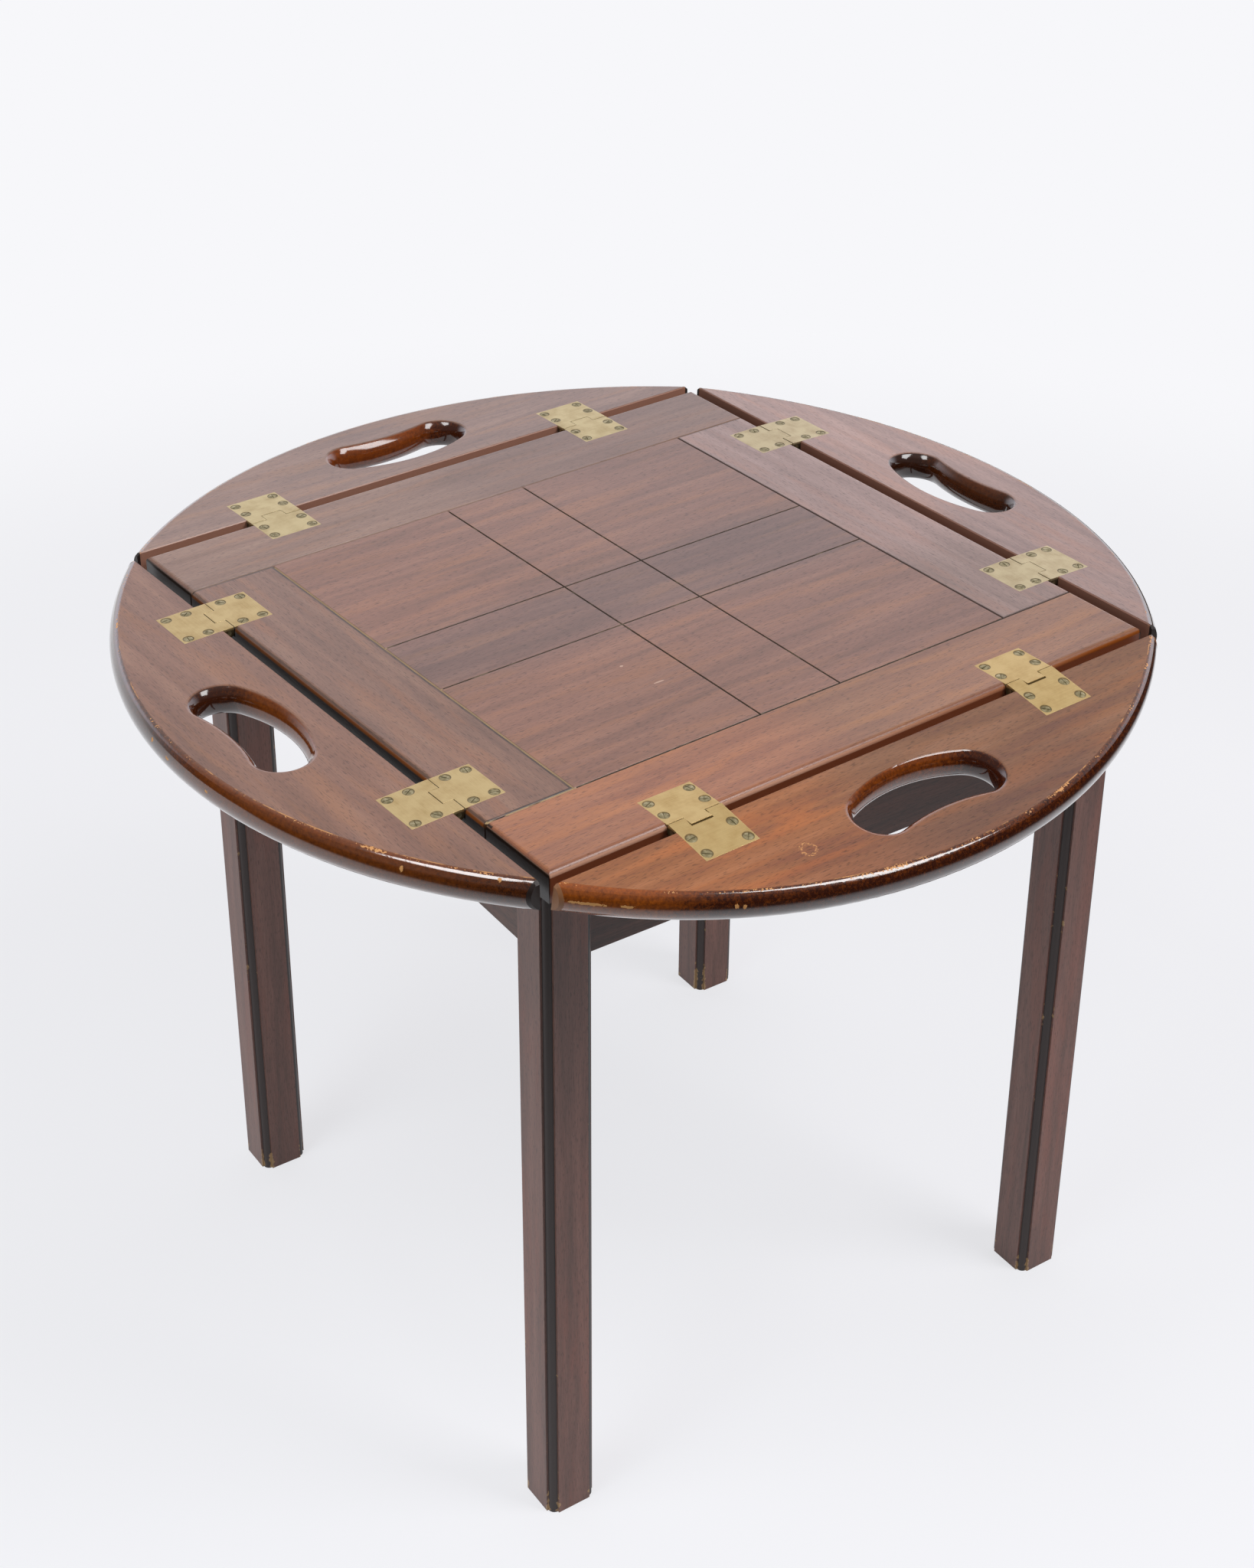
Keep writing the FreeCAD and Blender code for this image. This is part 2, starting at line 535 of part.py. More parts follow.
def linear(body, name, axis, length):
    """One step of a pattern: a second copy at a distance along an axis."""
    pattern = body.newObject("PartDesign::LinearPattern", name)
    pattern.Direction = (origin(body, axis), [""])
    pattern.setExpression("Length", length)
    pattern.Occurrences = 2
    return pattern


def make_screws(label, place, sign):
    """Countersunk screws of one leaf (sign 1), or of the whole tray (sign -1), as one group of solids."""
    body = new_body(label, place)
    body.AllowCompound = True
    x = f"-({HINGE_AT} + Sizes.screw_gauge / 2)"
    row = "Sizes.screw_near" if sign > 0 else "-Sizes.screw_far"
    section = new_sketch(body, "ScrewSection", "XZ_Plane", along=f"-({AXIS} + {row})", across=x)
    head, core = "Sizes.screw_head / 2", "Sizes.screw_core / 2"
    neck = f"-({head} - {core})"
    outline(section, [("0", "0"), ("0", "-Sizes.screw_length"), (core, "-Sizes.screw_length"), (core, neck), (head, "0")])
    screw = revolve(body, "Screw", section, 360)
    steps = body.newObject("PartDesign::MultiTransform", "AllScrews")
    steps.Originals = [screw]
    moves = [linear(body, "Rows", "Y_Axis", "Sizes.screw_far - Sizes.screw_near")]
    moves.append(linear(body, "Pair", "X_Axis", "Sizes.screw_gauge"))
    moves.append(linear(body, "Hinges", "X_Axis", f"2 * {HINGE_AT}"))
    if sign < 0:
        turn = body.newObject("PartDesign::PolarPattern", "FourSides")
        turn.Axis = (origin(body, "Z_Axis"), [""])
        turn.Angle = 360
        turn.Occurrences = 4
        moves.append(turn)
    steps.Transformations = moves
    body.Tip = steps


for corner in CORNERS:
    make_leg(corner)
for side in SIDES:
    make_apron(side)
make_panel()
for side in SIDES:
    make_rail(side)
    make_leaf(side)
    for hand, sign in (("a", -1), ("b", 1)):
        along = shift(f"{sign} * {HINGE_AT}", "0", "0")
        make_plate(f"hinge_{side}_{hand}_tray_plate", f"{on_side(side)} * {along}", -1)
        make_plate(f"hinge_{side}_{hand}_leaf_plate", f"{on_leaf(side)} * {along}", 1)
        make_pin(f"hinge_{side}_{hand}_pin", f"{on_side(side)} * {along}")
    make_screws(f"leaf_{side}_screws", on_leaf(side), 1)
make_screws("tray_screws", on_side("back"), -1)
doc.recompute()

faulty = [o.Label for o in doc.Objects if "Invalid" in o.State or "Error" in o.State]
if faulty:
    raise RuntimeError("failed objects: " + ", ".join(faulty))
for node in nodes:
    if node.Shape.isNull() or not node.Shape.isValid() or node.Shape.Volume <= 0:
        raise RuntimeError("bad shape: " + node.Label)
os.makedirs("parts", exist_ok=True)
for node in nodes:
    node.Shape.exportStep("parts/%s.step" % node.Label)
    print("%-32s solids %2d  volume %10.1f" % (node.Label, len(node.Shape.Solids), node.Shape.Volume))
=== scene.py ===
"""Looks of a butler's tray table: lacquered mahogany, brushed brass hinges and slotted screws, on a plain pale floor.

Lengths are metres. A board's own coordinates run X along its grain, Y across it and Z up from its face, which is Z = 0.
"""

import json
import math

import bmesh
import bpy
import numpy as np
from mathutils import Matrix, Vector


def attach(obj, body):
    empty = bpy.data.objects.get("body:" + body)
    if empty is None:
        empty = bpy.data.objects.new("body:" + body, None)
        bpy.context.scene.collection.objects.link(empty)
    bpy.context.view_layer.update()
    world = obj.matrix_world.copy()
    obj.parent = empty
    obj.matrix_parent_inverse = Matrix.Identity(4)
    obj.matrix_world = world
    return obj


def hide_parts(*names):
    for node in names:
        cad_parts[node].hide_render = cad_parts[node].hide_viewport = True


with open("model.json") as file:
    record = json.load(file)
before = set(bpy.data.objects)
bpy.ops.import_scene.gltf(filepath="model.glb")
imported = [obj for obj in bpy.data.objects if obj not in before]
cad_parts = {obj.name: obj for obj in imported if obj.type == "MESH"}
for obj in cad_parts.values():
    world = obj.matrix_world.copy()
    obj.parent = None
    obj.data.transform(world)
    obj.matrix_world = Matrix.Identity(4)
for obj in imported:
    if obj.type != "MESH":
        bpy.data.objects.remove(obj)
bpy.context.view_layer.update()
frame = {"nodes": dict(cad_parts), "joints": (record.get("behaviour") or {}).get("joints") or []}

# Sizes of the table, as its source has them
MM = 0.001
TOP = 520 * MM  # face of the tray above the floor
THICK = 20 * MM  # rails and leaves
TRAY_HALF = 231.5 * MM  # centre of the tray to its sides
PANEL = 170 * MM  # centre of the tray to the seam round its panel
AXIS, AXIS_HIGH = 235.4 * MM, 516.4 * MM  # hinge pins: out from the centre, and above the floor
HINGE_AT = 131.2 * MM  # middle of a side to each of its two hinges
SCREW_GAUGE = 14.7 * MM  # hinge's centre line to its screws
SCREW_ROWS = 12.5 * MM, 26.8 * MM  # hinge pin to each row of screws
RIM, RIM_CENTRE = 345 * MM, -15 * MM  # radius of a leaf's arris, and its centre across the leaf's board
SWELL, BULGE = 12.5 * MM, 5 * MM  # radius of the rim's swelling edge, and how far it stands past the arrises
LEAF_END = 231.8 * MM  # middle of a leaf to the bevels on its tips
HOLE_HALF, HOLE_AT, HOLE_WIDE = 57.5 * MM, 280 * MM, 25.5 * MM  # hand hole: half length, place across, half width
STAND_TURN, STAND_AT = -2.96, (10.6 * MM, -2.1 * MM, 0)  # the stand under the loose tray: degrees, and its centre
LEG_AT, LEG_HALF, LEG_NOTCH = 201.5 * MM, 17.5 * MM, 5.7 * MM  # a leg's axis, half its width, its corner notches
TURN = {"back": 0, "left": 90, "front": 180, "right": 270}
DROOP = {j["child"][:-5]: j["range_deg"][1] - 90 for j in frame["joints"] if j["child"].endswith("_leaf")}

# Two small scratches on the panel, as a centre and the half lengths of an ellipsoid
SCRATCHES = (
    ((-57 * MM, -103 * MM, 0), (4 * MM, 0.6 * MM, 1 * MM)),
    ((-64 * MM, -74 * MM, 0), (1.2 * MM, 0.9 * MM, 1 * MM)),
)

# Roughness: satin lacquer on a face, polished lacquer on a moulded edge, wax and dirt in a seam
SATIN, POLISHED, WAXED = 0.30, 0.12, 0.8
LEG_SHEEN, BEAD_SHEEN, APRON_SHEEN = 0.38, 0.45, 0.42  # the stand's thinner lacquer is duller
LACQUER_IOR = 1.5
BARE_WOOD, PORE, SEAM, WORN_SEAM = "#cf9258", "#2e150d", "#2b1a12", "#b3956e"
THINNING, LEG_THINNING = 0.13, 0.12  # how fast chips thin out with each millimetre from an arris
PAPER = "#f7f7fa"
EYE_SIDE, RIGHT_SIDE, FAR_SIDE = (-0.55, -0.83, 0), (0.83, -0.55, 0), (0.6, 0.8, 0)  # as the camera sees it
EASE = {"interpolation_type": "SMOOTHSTEP"}


def linear(code):
    """sRGB hex to linear RGBA."""
    s = np.array([int(code[i : i + 2], 16) for i in (1, 3, 5)]) / 255
    rgb = np.where(s <= 0.04045, s / 12.92, ((s + 0.055) / 1.055) ** 2.4)
    return (*map(float, rgb), 1.0)


def add(tree, kind, inputs=None, stops=(), **settings):
    """Adds a node. Settings are its own properties, stops a ramp's places and colours, and inputs its sockets:
    each a value, a socket to link, or a node whose first output is linked."""
    node = tree.nodes.new("ShaderNode" + kind)
    for key, value in settings.items():
        setattr(node, key, value)
    for n, (place, code) in enumerate(stops):
        stop = node.color_ramp.elements[n] if n < 2 else node.color_ramp.elements.new(place)
        stop.position, stop.color = place, linear(code)
    for key, value in (inputs or {}).items():
        if isinstance(value, bpy.types.Node):
            value = value.outputs[0]
        if isinstance(value, bpy.types.NodeSocket):
            tree.links.new(value, node.inputs[key])
        else:
            node.inputs[key].default_value = value
    return node


def new_tree(name):
    """An empty material and its node tree."""
    material = bpy.data.materials.new(name)
    material.use_nodes = True
    material.node_tree.nodes.clear()
    return material, material.node_tree


def leaf_board(side):
    """Takes a leaf as it hangs to a board that lies level: unturned about Z, then raised about its hinge pins."""
    pins = Vector((0, AXIS, AXIS_HIGH))
    level = Matrix.Translation(pins) @ Matrix.Rotation(math.radians(DROOP[side]), 4, "X") @ Matrix.Translation(-pins)
    return Matrix.Translation((0, 0, -TOP)) @ level @ Matrix.Rotation(math.radians(-TURN[side]), 4, "Z")


def tray_board(turn):
    """Lays a board of the tray along X, with its face at zero."""
    return Matrix.Translation((0, 0, -TOP)) @ Matrix.Rotation(math.radians(-turn), 4, "Z")


def stand_board(turn=0):
    """Undoes the stand's shift and turn, and lays an apron along X."""
    unturn = Matrix.Rotation(math.radians(-STAND_TURN - turn), 4, "Z")
    return unturn @ Matrix.Translation(-Vector(STAND_AT))


def streaks(tree, at, long, wide, detail=2.0, roughness=0.55, distortion=0.0):
    """Noise in streaks: so long along the grain, so wide across it."""
    stretch = add(tree, "VectorMath", {0: at, 1: (1 / long, 1 / wide, 1 / wide)}, operation="MULTIPLY")
    shape = {"Scale": 1.0, "Detail": detail, "Roughness": roughness, "Distortion": distortion}
    return add(tree, "TexNoise", {"Vector": stretch, **shape})


def mahogany(name, board, shades, warm, seed, ribbon=(120 * MM, 10 * MM), glow=0.5, pores=0.6, fibre=0.45):
    """Mahogany, stained and planed: soft blotchy ribbons, patches where the stain is warmer, fine fibres along the
    grain and short dark pores. The seed moves a board to another stretch of the log.
    Returns the material, its tree, the board coordinates, the colour of the grain and the pores as 0 to 1."""
    material, tree = new_tree(name)
    here = add(tree, "TexCoord").outputs["Object"]
    laid = {"Location": board.to_translation(), "Rotation": board.to_euler("XYZ")}
    at = add(tree, "Mapping", {"Vector": here, **laid})
    log = add(tree, "VectorMath", {0: at, 1: (seed, 0.37 * seed, 0)}, operation="ADD")
    figure = streaks(tree, log, *ribbon, 3.0, 0.55, 0.4)
    # fibres and pores are drawn about twice as wide as real ones, so that they show
    fibres = streaks(tree, log, 16 * MM, 0.9 * MM, 3.0, 0.6)
    dashes = streaks(tree, log, 5.0 * MM, 0.7 * MM, 1.0, 0.4, 0.3)
    pore = add(tree, "MapRange", {"Value": dashes, "From Min": 0.56, "From Max": 0.70}, **EASE)
    wave = add(tree, "Math", {0: fibres, 1: fibre, 2: -fibre / 2}, operation="MULTIPLY_ADD")
    band = add(tree, "Math", {0: figure, 1: wave}, operation="ADD")
    grain = add(tree, "ValToRGB", {"Fac": band}, stops=[(0.30, shades[0]), (0.70, shades[2]), (0.50, shades[1])])
    blotch = streaks(tree, log, 130 * MM, 15 * MM, 3.0, 0.6, 0.4)
    blotch = add(tree, "MapRange", {"Value": blotch, "From Min": 0.47, "From Max": 0.68, "To Max": glow}, **EASE)
    grain = add(tree, "MixRGB", {"Fac": blotch, "Color1": grain, "Color2": linear(warm)})
    cloud = streaks(tree, log, 220 * MM, 90 * MM, 1.0)
    level = {"Value": cloud, "From Min": 0.3, "From Max": 0.7, "To Min": 0.90, "To Max": 1.10}
    grain = add(tree, "VectorMath", {0: grain, "Scale": add(tree, "MapRange", level)}, operation="SCALE")
    dark = add(tree, "Math", {0: pore, 1: pores}, operation="MULTIPLY")
    grain = add(tree, "MixRGB", {"Fac": dark, "Color1": grain, "Color2": linear(PORE)})
    return material, tree, at, grain, pore


def lacquer(tree, colour, rough, pore, normal=None, coat=0.0, sink=0.2):
    """Closes a wood with its lacquer: a clear film that sinks a little into the pores, so the grain glints as it turns
    to the light. A coat is a second, polished film over it, which doubles what the edge mirrors."""
    sunk = {"Height": pore, "Strength": sink, "Distance": 0.1 * MM}
    bump = add(tree, "Bump", sunk if normal is None else {**sunk, "Normal": normal}, invert=True)
    film = {"Base Color": colour, "Roughness": rough, "IOR": LACQUER_IOR, "Normal": bump}
    second = {"Coat Weight": coat, "Coat Roughness": 0.1}
    add(tree, "OutputMaterial", {"Surface": add(tree, "BsdfPrincipled", {**film, **second})})


def drift(tree, grain, along, tint, start, full):
    """Painted light: grain dimmed and tinted from one place along the board to another, where sheen and light fall
    unevenly across it.
    """
    share = add(tree, "MapRange", {"Value": along, "From Min": start, "From Max": full}, **EASE)
    return add(tree, "MixRGB", {"Fac": share, "Color1": grain, "Color2": linear(tint)}, blend_type="MULTIPLY")


def spots(tree, at, places, edge):
    """Bare spots: each place is a centre and the half lengths of an ellipsoid, and edge is its size, a number or a
    noise that breaks up its outline."""
    found = 0.0
    for centre, half in places:
        near = add(tree, "VectorMath", {0: at, 1: centre}, operation="SUBTRACT")
        near = add(tree, "VectorMath", {0: near, 1: tuple(1 / h for h in half)}, operation="MULTIPLY")
        near = add(tree, "VectorMath", {0: near}, operation="LENGTH").outputs["Value"]
        hit = add(tree, "Math", {0: near, 1: edge}, operation="LESS_THAN")
        found = add(tree, "Math", {0: hit, 1: found}, operation="MAXIMUM")
    return found


def sprayed_edge(tree, at, along, ends, high, hole, deep, amber, glow_at, glow_reach, hollow, shaded_end):
    """Dark toner sprayed on a leaf's moulded edges, which gives them their speckled, near-black to amber shine. It is
    thin about one place along the rim and just under the arris. In the hand hole it is thin along the sides, and the
    tight end that shaded_end points to, or both ends where that is 0, are painted darker with the shade in there."""
    mottle = add(tree, "TexNoise", {"Vector": at, "Scale": 1 / (2.4 * MM), "Detail": 4.0, "Roughness": 0.8})
    speck = add(tree, "MapRange", {"Value": mottle, "From Min": 0.3, "From Max": 0.7, "To Min": -0.35, "To Max": 0.4})
    toward = add(tree, "Math", {0: along, 1: glow_at}, operation="SUBTRACT")
    toward = add(tree, "Math", {0: toward}, operation="ABSOLUTE")
    about = {"Value": toward, "From Min": glow_reach, "From Max": 0.4 * glow_reach, "To Max": 0.55}
    toward = add(tree, "MapRange", about, **EASE)
    under = {"Value": high, "From Min": -0.5 * MM, "From Max": -5 * MM, "To Min": 0.15, "To Max": 0.0}
    bright = add(tree, "MapRange", under)
    # painted shade: the hand hole darkens towards its tight ends
    toward_end = add(tree, "Math", {0: along, 1: shaded_end}, operation="MULTIPLY") if shaded_end else ends
    sides = {"Value": toward_end, "From Min": 54 * MM, "From Max": 24 * MM, "To Min": -0.15, "To Max": hollow}
    amid = add(tree, "MapRange", sides, **EASE)
    bright = add(tree, "Math", {0: hole, 1: amid, 2: bright}, operation="MULTIPLY_ADD")
    outer = add(tree, "Math", {0: 1.0, 1: hole}, operation="SUBTRACT")
    thin = add(tree, "Math", {0: toward, 1: outer, 2: speck}, operation="MULTIPLY_ADD")
    thin = add(tree, "Math", {0: thin, 1: bright}, operation="ADD", use_clamp=True)
    return add(tree, "MixRGB", {"Fac": thin, "Color1": linear(deep), "Color2": linear(amber)})


def chipped_arris(tree, at, off, high, seed, chips):
    """Bare wood along a leaf's upper arris, as 0 to 1: flakes that gather in clumps and thin out away from the arris,
    and a thread of worn lacquer beside it. Returns it with the flakes, which make other marks ragged too."""
    corner = add(tree, "CombineXYZ", {"X": off, "Y": high})
    corner = add(tree, "VectorMath", {0: corner, 1: (0.6 * MM, 0.4 * MM, 0)}, operation="ADD")
    arris = add(tree, "VectorMath", {0: corner}, operation="LENGTH").outputs["Value"]
    scar = add(tree, "VectorMath", {0: at, 1: (seed, 0, 0)}, operation="ADD")
    flakes = add(tree, "TexNoise", {"Vector": scar, "Scale": 1 / (1.6 * MM), "Detail": 2.0, "Roughness": 0.6})
    clumps = add(tree, "TexNoise", {"Vector": scar, "Scale": 1 / (24 * MM), "Detail": 1.0})
    rubbed = add(tree, "Math", {0: clumps, 1: 0.9, 2: flakes}, operation="MULTIPLY_ADD")
    kept = add(tree, "Math", {0: arris, 1: THINNING / MM, 2: chips}, operation="MULTIPLY_ADD")
    bare = add(tree, "Math", {0: rubbed, 1: kept}, operation="SUBTRACT")
    bare = add(tree, "MapRange", {"Value": bare, "From Min": 0.0, "From Max": 0.05})
    thread = add(tree, "Math", {0: off, 1: -1.5 * MM, 2: 0.35 * MM}, operation="COMPARE")
    rubbed = add(tree, "TexNoise", {"Vector": scar, "Scale": 1 / (30 * MM), "Detail": 5.0, "Roughness": 0.7})
    rubbed = add(tree, "MapRange", {"Value": rubbed, "From Min": 0.52, "From Max": 0.60, "To Max": 0.7})
    above = add(tree, "Math", {0: high, 1: -2 * MM}, operation="GREATER_THAN")
    thread = add(tree, "Math", {0: thread, 1: rubbed}, operation="MULTIPLY")
    thread = add(tree, "Math", {0: thread, 1: above}, operation="MULTIPLY")
    return add(tree, "Math", {0: bare, 1: thread}, operation="MAXIMUM"), flakes


def rim_places(marks):
    """Marks on a rim, given in millimetres as (along, depth, half length, half height), as ellipsoids. At a depth the
    swelling edge stands past the arris by sqrt(swell^2 - (half the thickness - depth)^2) - (swell - bulge)."""
    u, depth, long, tall = np.array(marks).T * MM
    stands = np.sqrt(SWELL**2 - (THICK / 2 - depth) ** 2) - (SWELL - BULGE)
    out = RIM_CENTRE + np.sqrt((RIM + stands) ** 2 - u**2)
    return zip(np.column_stack([u, out, -depth]).tolist(), np.column_stack([long, long, tall]).tolist())


def leaf_wood(side, shades, warm, seed, edge_tones, glow, chips, hollow, wall_shading, tip,
              shaded_end=0, marks=(), ring=None, painted_light=None, rim_shade=None):
    """Lacquered mahogany leaf. The face is satin and shows the grain. The rim and the hand hole are sprayed dark and
    polished, so they mirror the room, and chips along the arris show pale wood.
    edge_tones are the spray's thick and thin colours, glow where along the rim it is thin and how far, and chips the
    wear, less of it the higher. wall_shading and tip colour the side along the gap and the bevelled tips, painted
    with the light and shade that fall there. A ring is a centre and a radius, painted_light a tint of painted light
    with its start and its full place along the leaf, and rim_shade a tint of painted shade towards the rim's middle."""
    name = f"lacquered mahogany, {side} leaf"
    material, tree, at, grain, pore = mahogany(name, leaf_board(side), shades, warm, seed, pores=0.45)
    spot = add(tree, "SeparateXYZ", {0: at})
    along, across, high = (spot.outputs[axis] for axis in "XYZ")
    # painted light: the grain dims and tints along the leaf, as sheen and light fall across it
    if painted_light:
        grain = drift(tree, grain, along, *painted_light)
    flat = add(tree, "VectorMath", {0: at, 1: (1, 1, 0), 2: (0, -RIM_CENTRE, 0)}, operation="MULTIPLY_ADD")
    radius = add(tree, "VectorMath", {0: flat}, operation="LENGTH").outputs["Value"]
    off = add(tree, "Math", {0: radius, 1: RIM}, operation="SUBTRACT")
    ends = add(tree, "Math", {0: along}, operation="ABSOLUTE")
    # painted shade: the face grows darker towards the middle of the rim
    if rim_shade:
        share = add(tree, "MapRange", {"Value": off, "From Min": -50 * MM, "From Max": -12 * MM}, **EASE)
        middle = add(tree, "MapRange", {"Value": ends, "From Min": 150 * MM, "From Max": 80 * MM}, **EASE)
        share = add(tree, "Math", {0: share, 1: middle}, operation="MULTIPLY")
        grain = add(tree, "MixRGB", {"Fac": share, "Color1": grain, "Color2": linear(rim_shade)}, blend_type="MULTIPLY")
    # where the moulded edges are: the rim, the tips and the wall of the hand hole
    rim = add(tree, "MapRange", {"Value": off, "From Min": -2.1 * MM, "From Max": -1.0 * MM}, **EASE)
    tips = add(tree, "Math", {0: ends, 1: LEAF_END}, operation="GREATER_THAN")
    inside = add(tree, "Math", {0: ends, 1: HOLE_HALF}, operation="LESS_THAN")
    beside = add(tree, "Math", {0: across, 1: HOLE_AT, 2: HOLE_WIDE}, operation="COMPARE")
    sunk = add(tree, "MapRange", {"Value": high, "From Min": -0.05 * MM, "From Max": -0.6 * MM}, **EASE)
    above = add(tree, "Math", {0: high, 1: -THICK + 0.1 * MM}, operation="GREATER_THAN")
    hole = add(tree, "Math", {0: inside, 1: beside}, operation="MULTIPLY")
    within = add(tree, "Math", {0: sunk, 1: above}, operation="MULTIPLY")
    hole = add(tree, "Math", {0: hole, 1: within}, operation="MULTIPLY")
    edge = add(tree, "Math", {0: rim, 1: tips}, operation="MAXIMUM")
    edge = add(tree, "Math", {0: edge, 1: hole}, operation="MAXIMUM")
    tone = sprayed_edge(tree, at, along, ends, high, hole, *edge_tones, *glow, hollow, shaded_end)
    colour = add(tree, "MixRGB", {"Fac": edge, "Color1": grain, "Color2": tone})
    # painted light and shade: the side along the hinge gap takes its own colour per leaf for the light that reaches it
    inner = add(tree, "Math", {0: across, 1: AXIS + 5 * MM}, operation="LESS_THAN")
    inner = add(tree, "Math", {0: inner, 1: sunk}, operation="MULTIPLY")
    colour = add(tree, "MixRGB", {"Fac": inner, "Color1": colour, "Color2": linear(wall_shading)})
    bare, flakes = chipped_arris(tree, at, off, high, seed, chips)
    if marks:
        ragged = add(tree, "Math", {0: flakes, 1: 2.0}, operation="MULTIPLY")
        bare = add(tree, "Math", {0: bare, 1: spots(tree, at, rim_places(marks), ragged)}, operation="MAXIMUM")
    if ring:
        # pale specks in a ring, which something small and hot left on the face
        near = add(tree, "VectorMath", {0: at, 1: (*ring[0], 0)}, operation="DISTANCE").outputs["Value"]
        near = add(tree, "Math", {0: near, 1: ring[1], 2: 1.2 * MM}, operation="COMPARE")
        fleck = add(tree, "MapRange", {"Value": flakes, "From Min": 0.50, "From Max": 0.56, "To Max": 0.7})
        near = add(tree, "Math", {0: near, 1: fleck}, operation="MULTIPLY")
        bare = add(tree, "Math", {0: bare, 1: near}, operation="MAXIMUM")
    colour = add(tree, "MixRGB", {"Fac": bare, "Color1": colour, "Color2": linear(BARE_WOOD)})
    # bare wood and the tips are dull, and have no second coat
    rough = add(tree, "MapRange", {"Value": edge, "To Min": SATIN, "To Max": POLISHED})
    rough = add(tree, "Math", {0: bare, 1: 0.4, 2: rough}, operation="MULTIPLY_ADD")
    coat = add(tree, "Math", {0: hole, 1: 0.4, 2: rim}, operation="MULTIPLY_ADD")
    worn = add(tree, "Math", {0: bare, 1: tips}, operation="MAXIMUM")
    coat = add(tree, "Math", {0: coat, 1: worn}, operation="SUBTRACT", use_clamp=True)
    rough = add(tree, "Math", {0: tips, 1: 0.4, 2: rough}, operation="MULTIPLY_ADD")
    # painted shade: the bevelled tips take a dark colour for the shade between the leaves
    colour = add(tree, "MixRGB", {"Fac": tips, "Color1": colour, "Color2": linear(tip)})
    sink = add(tree, "MapRange", {"Value": edge, "To Min": 0.2, "To Max": 0.0})
    lacquer(tree, colour, rough, pore, coat=coat, sink=sink)
    return material


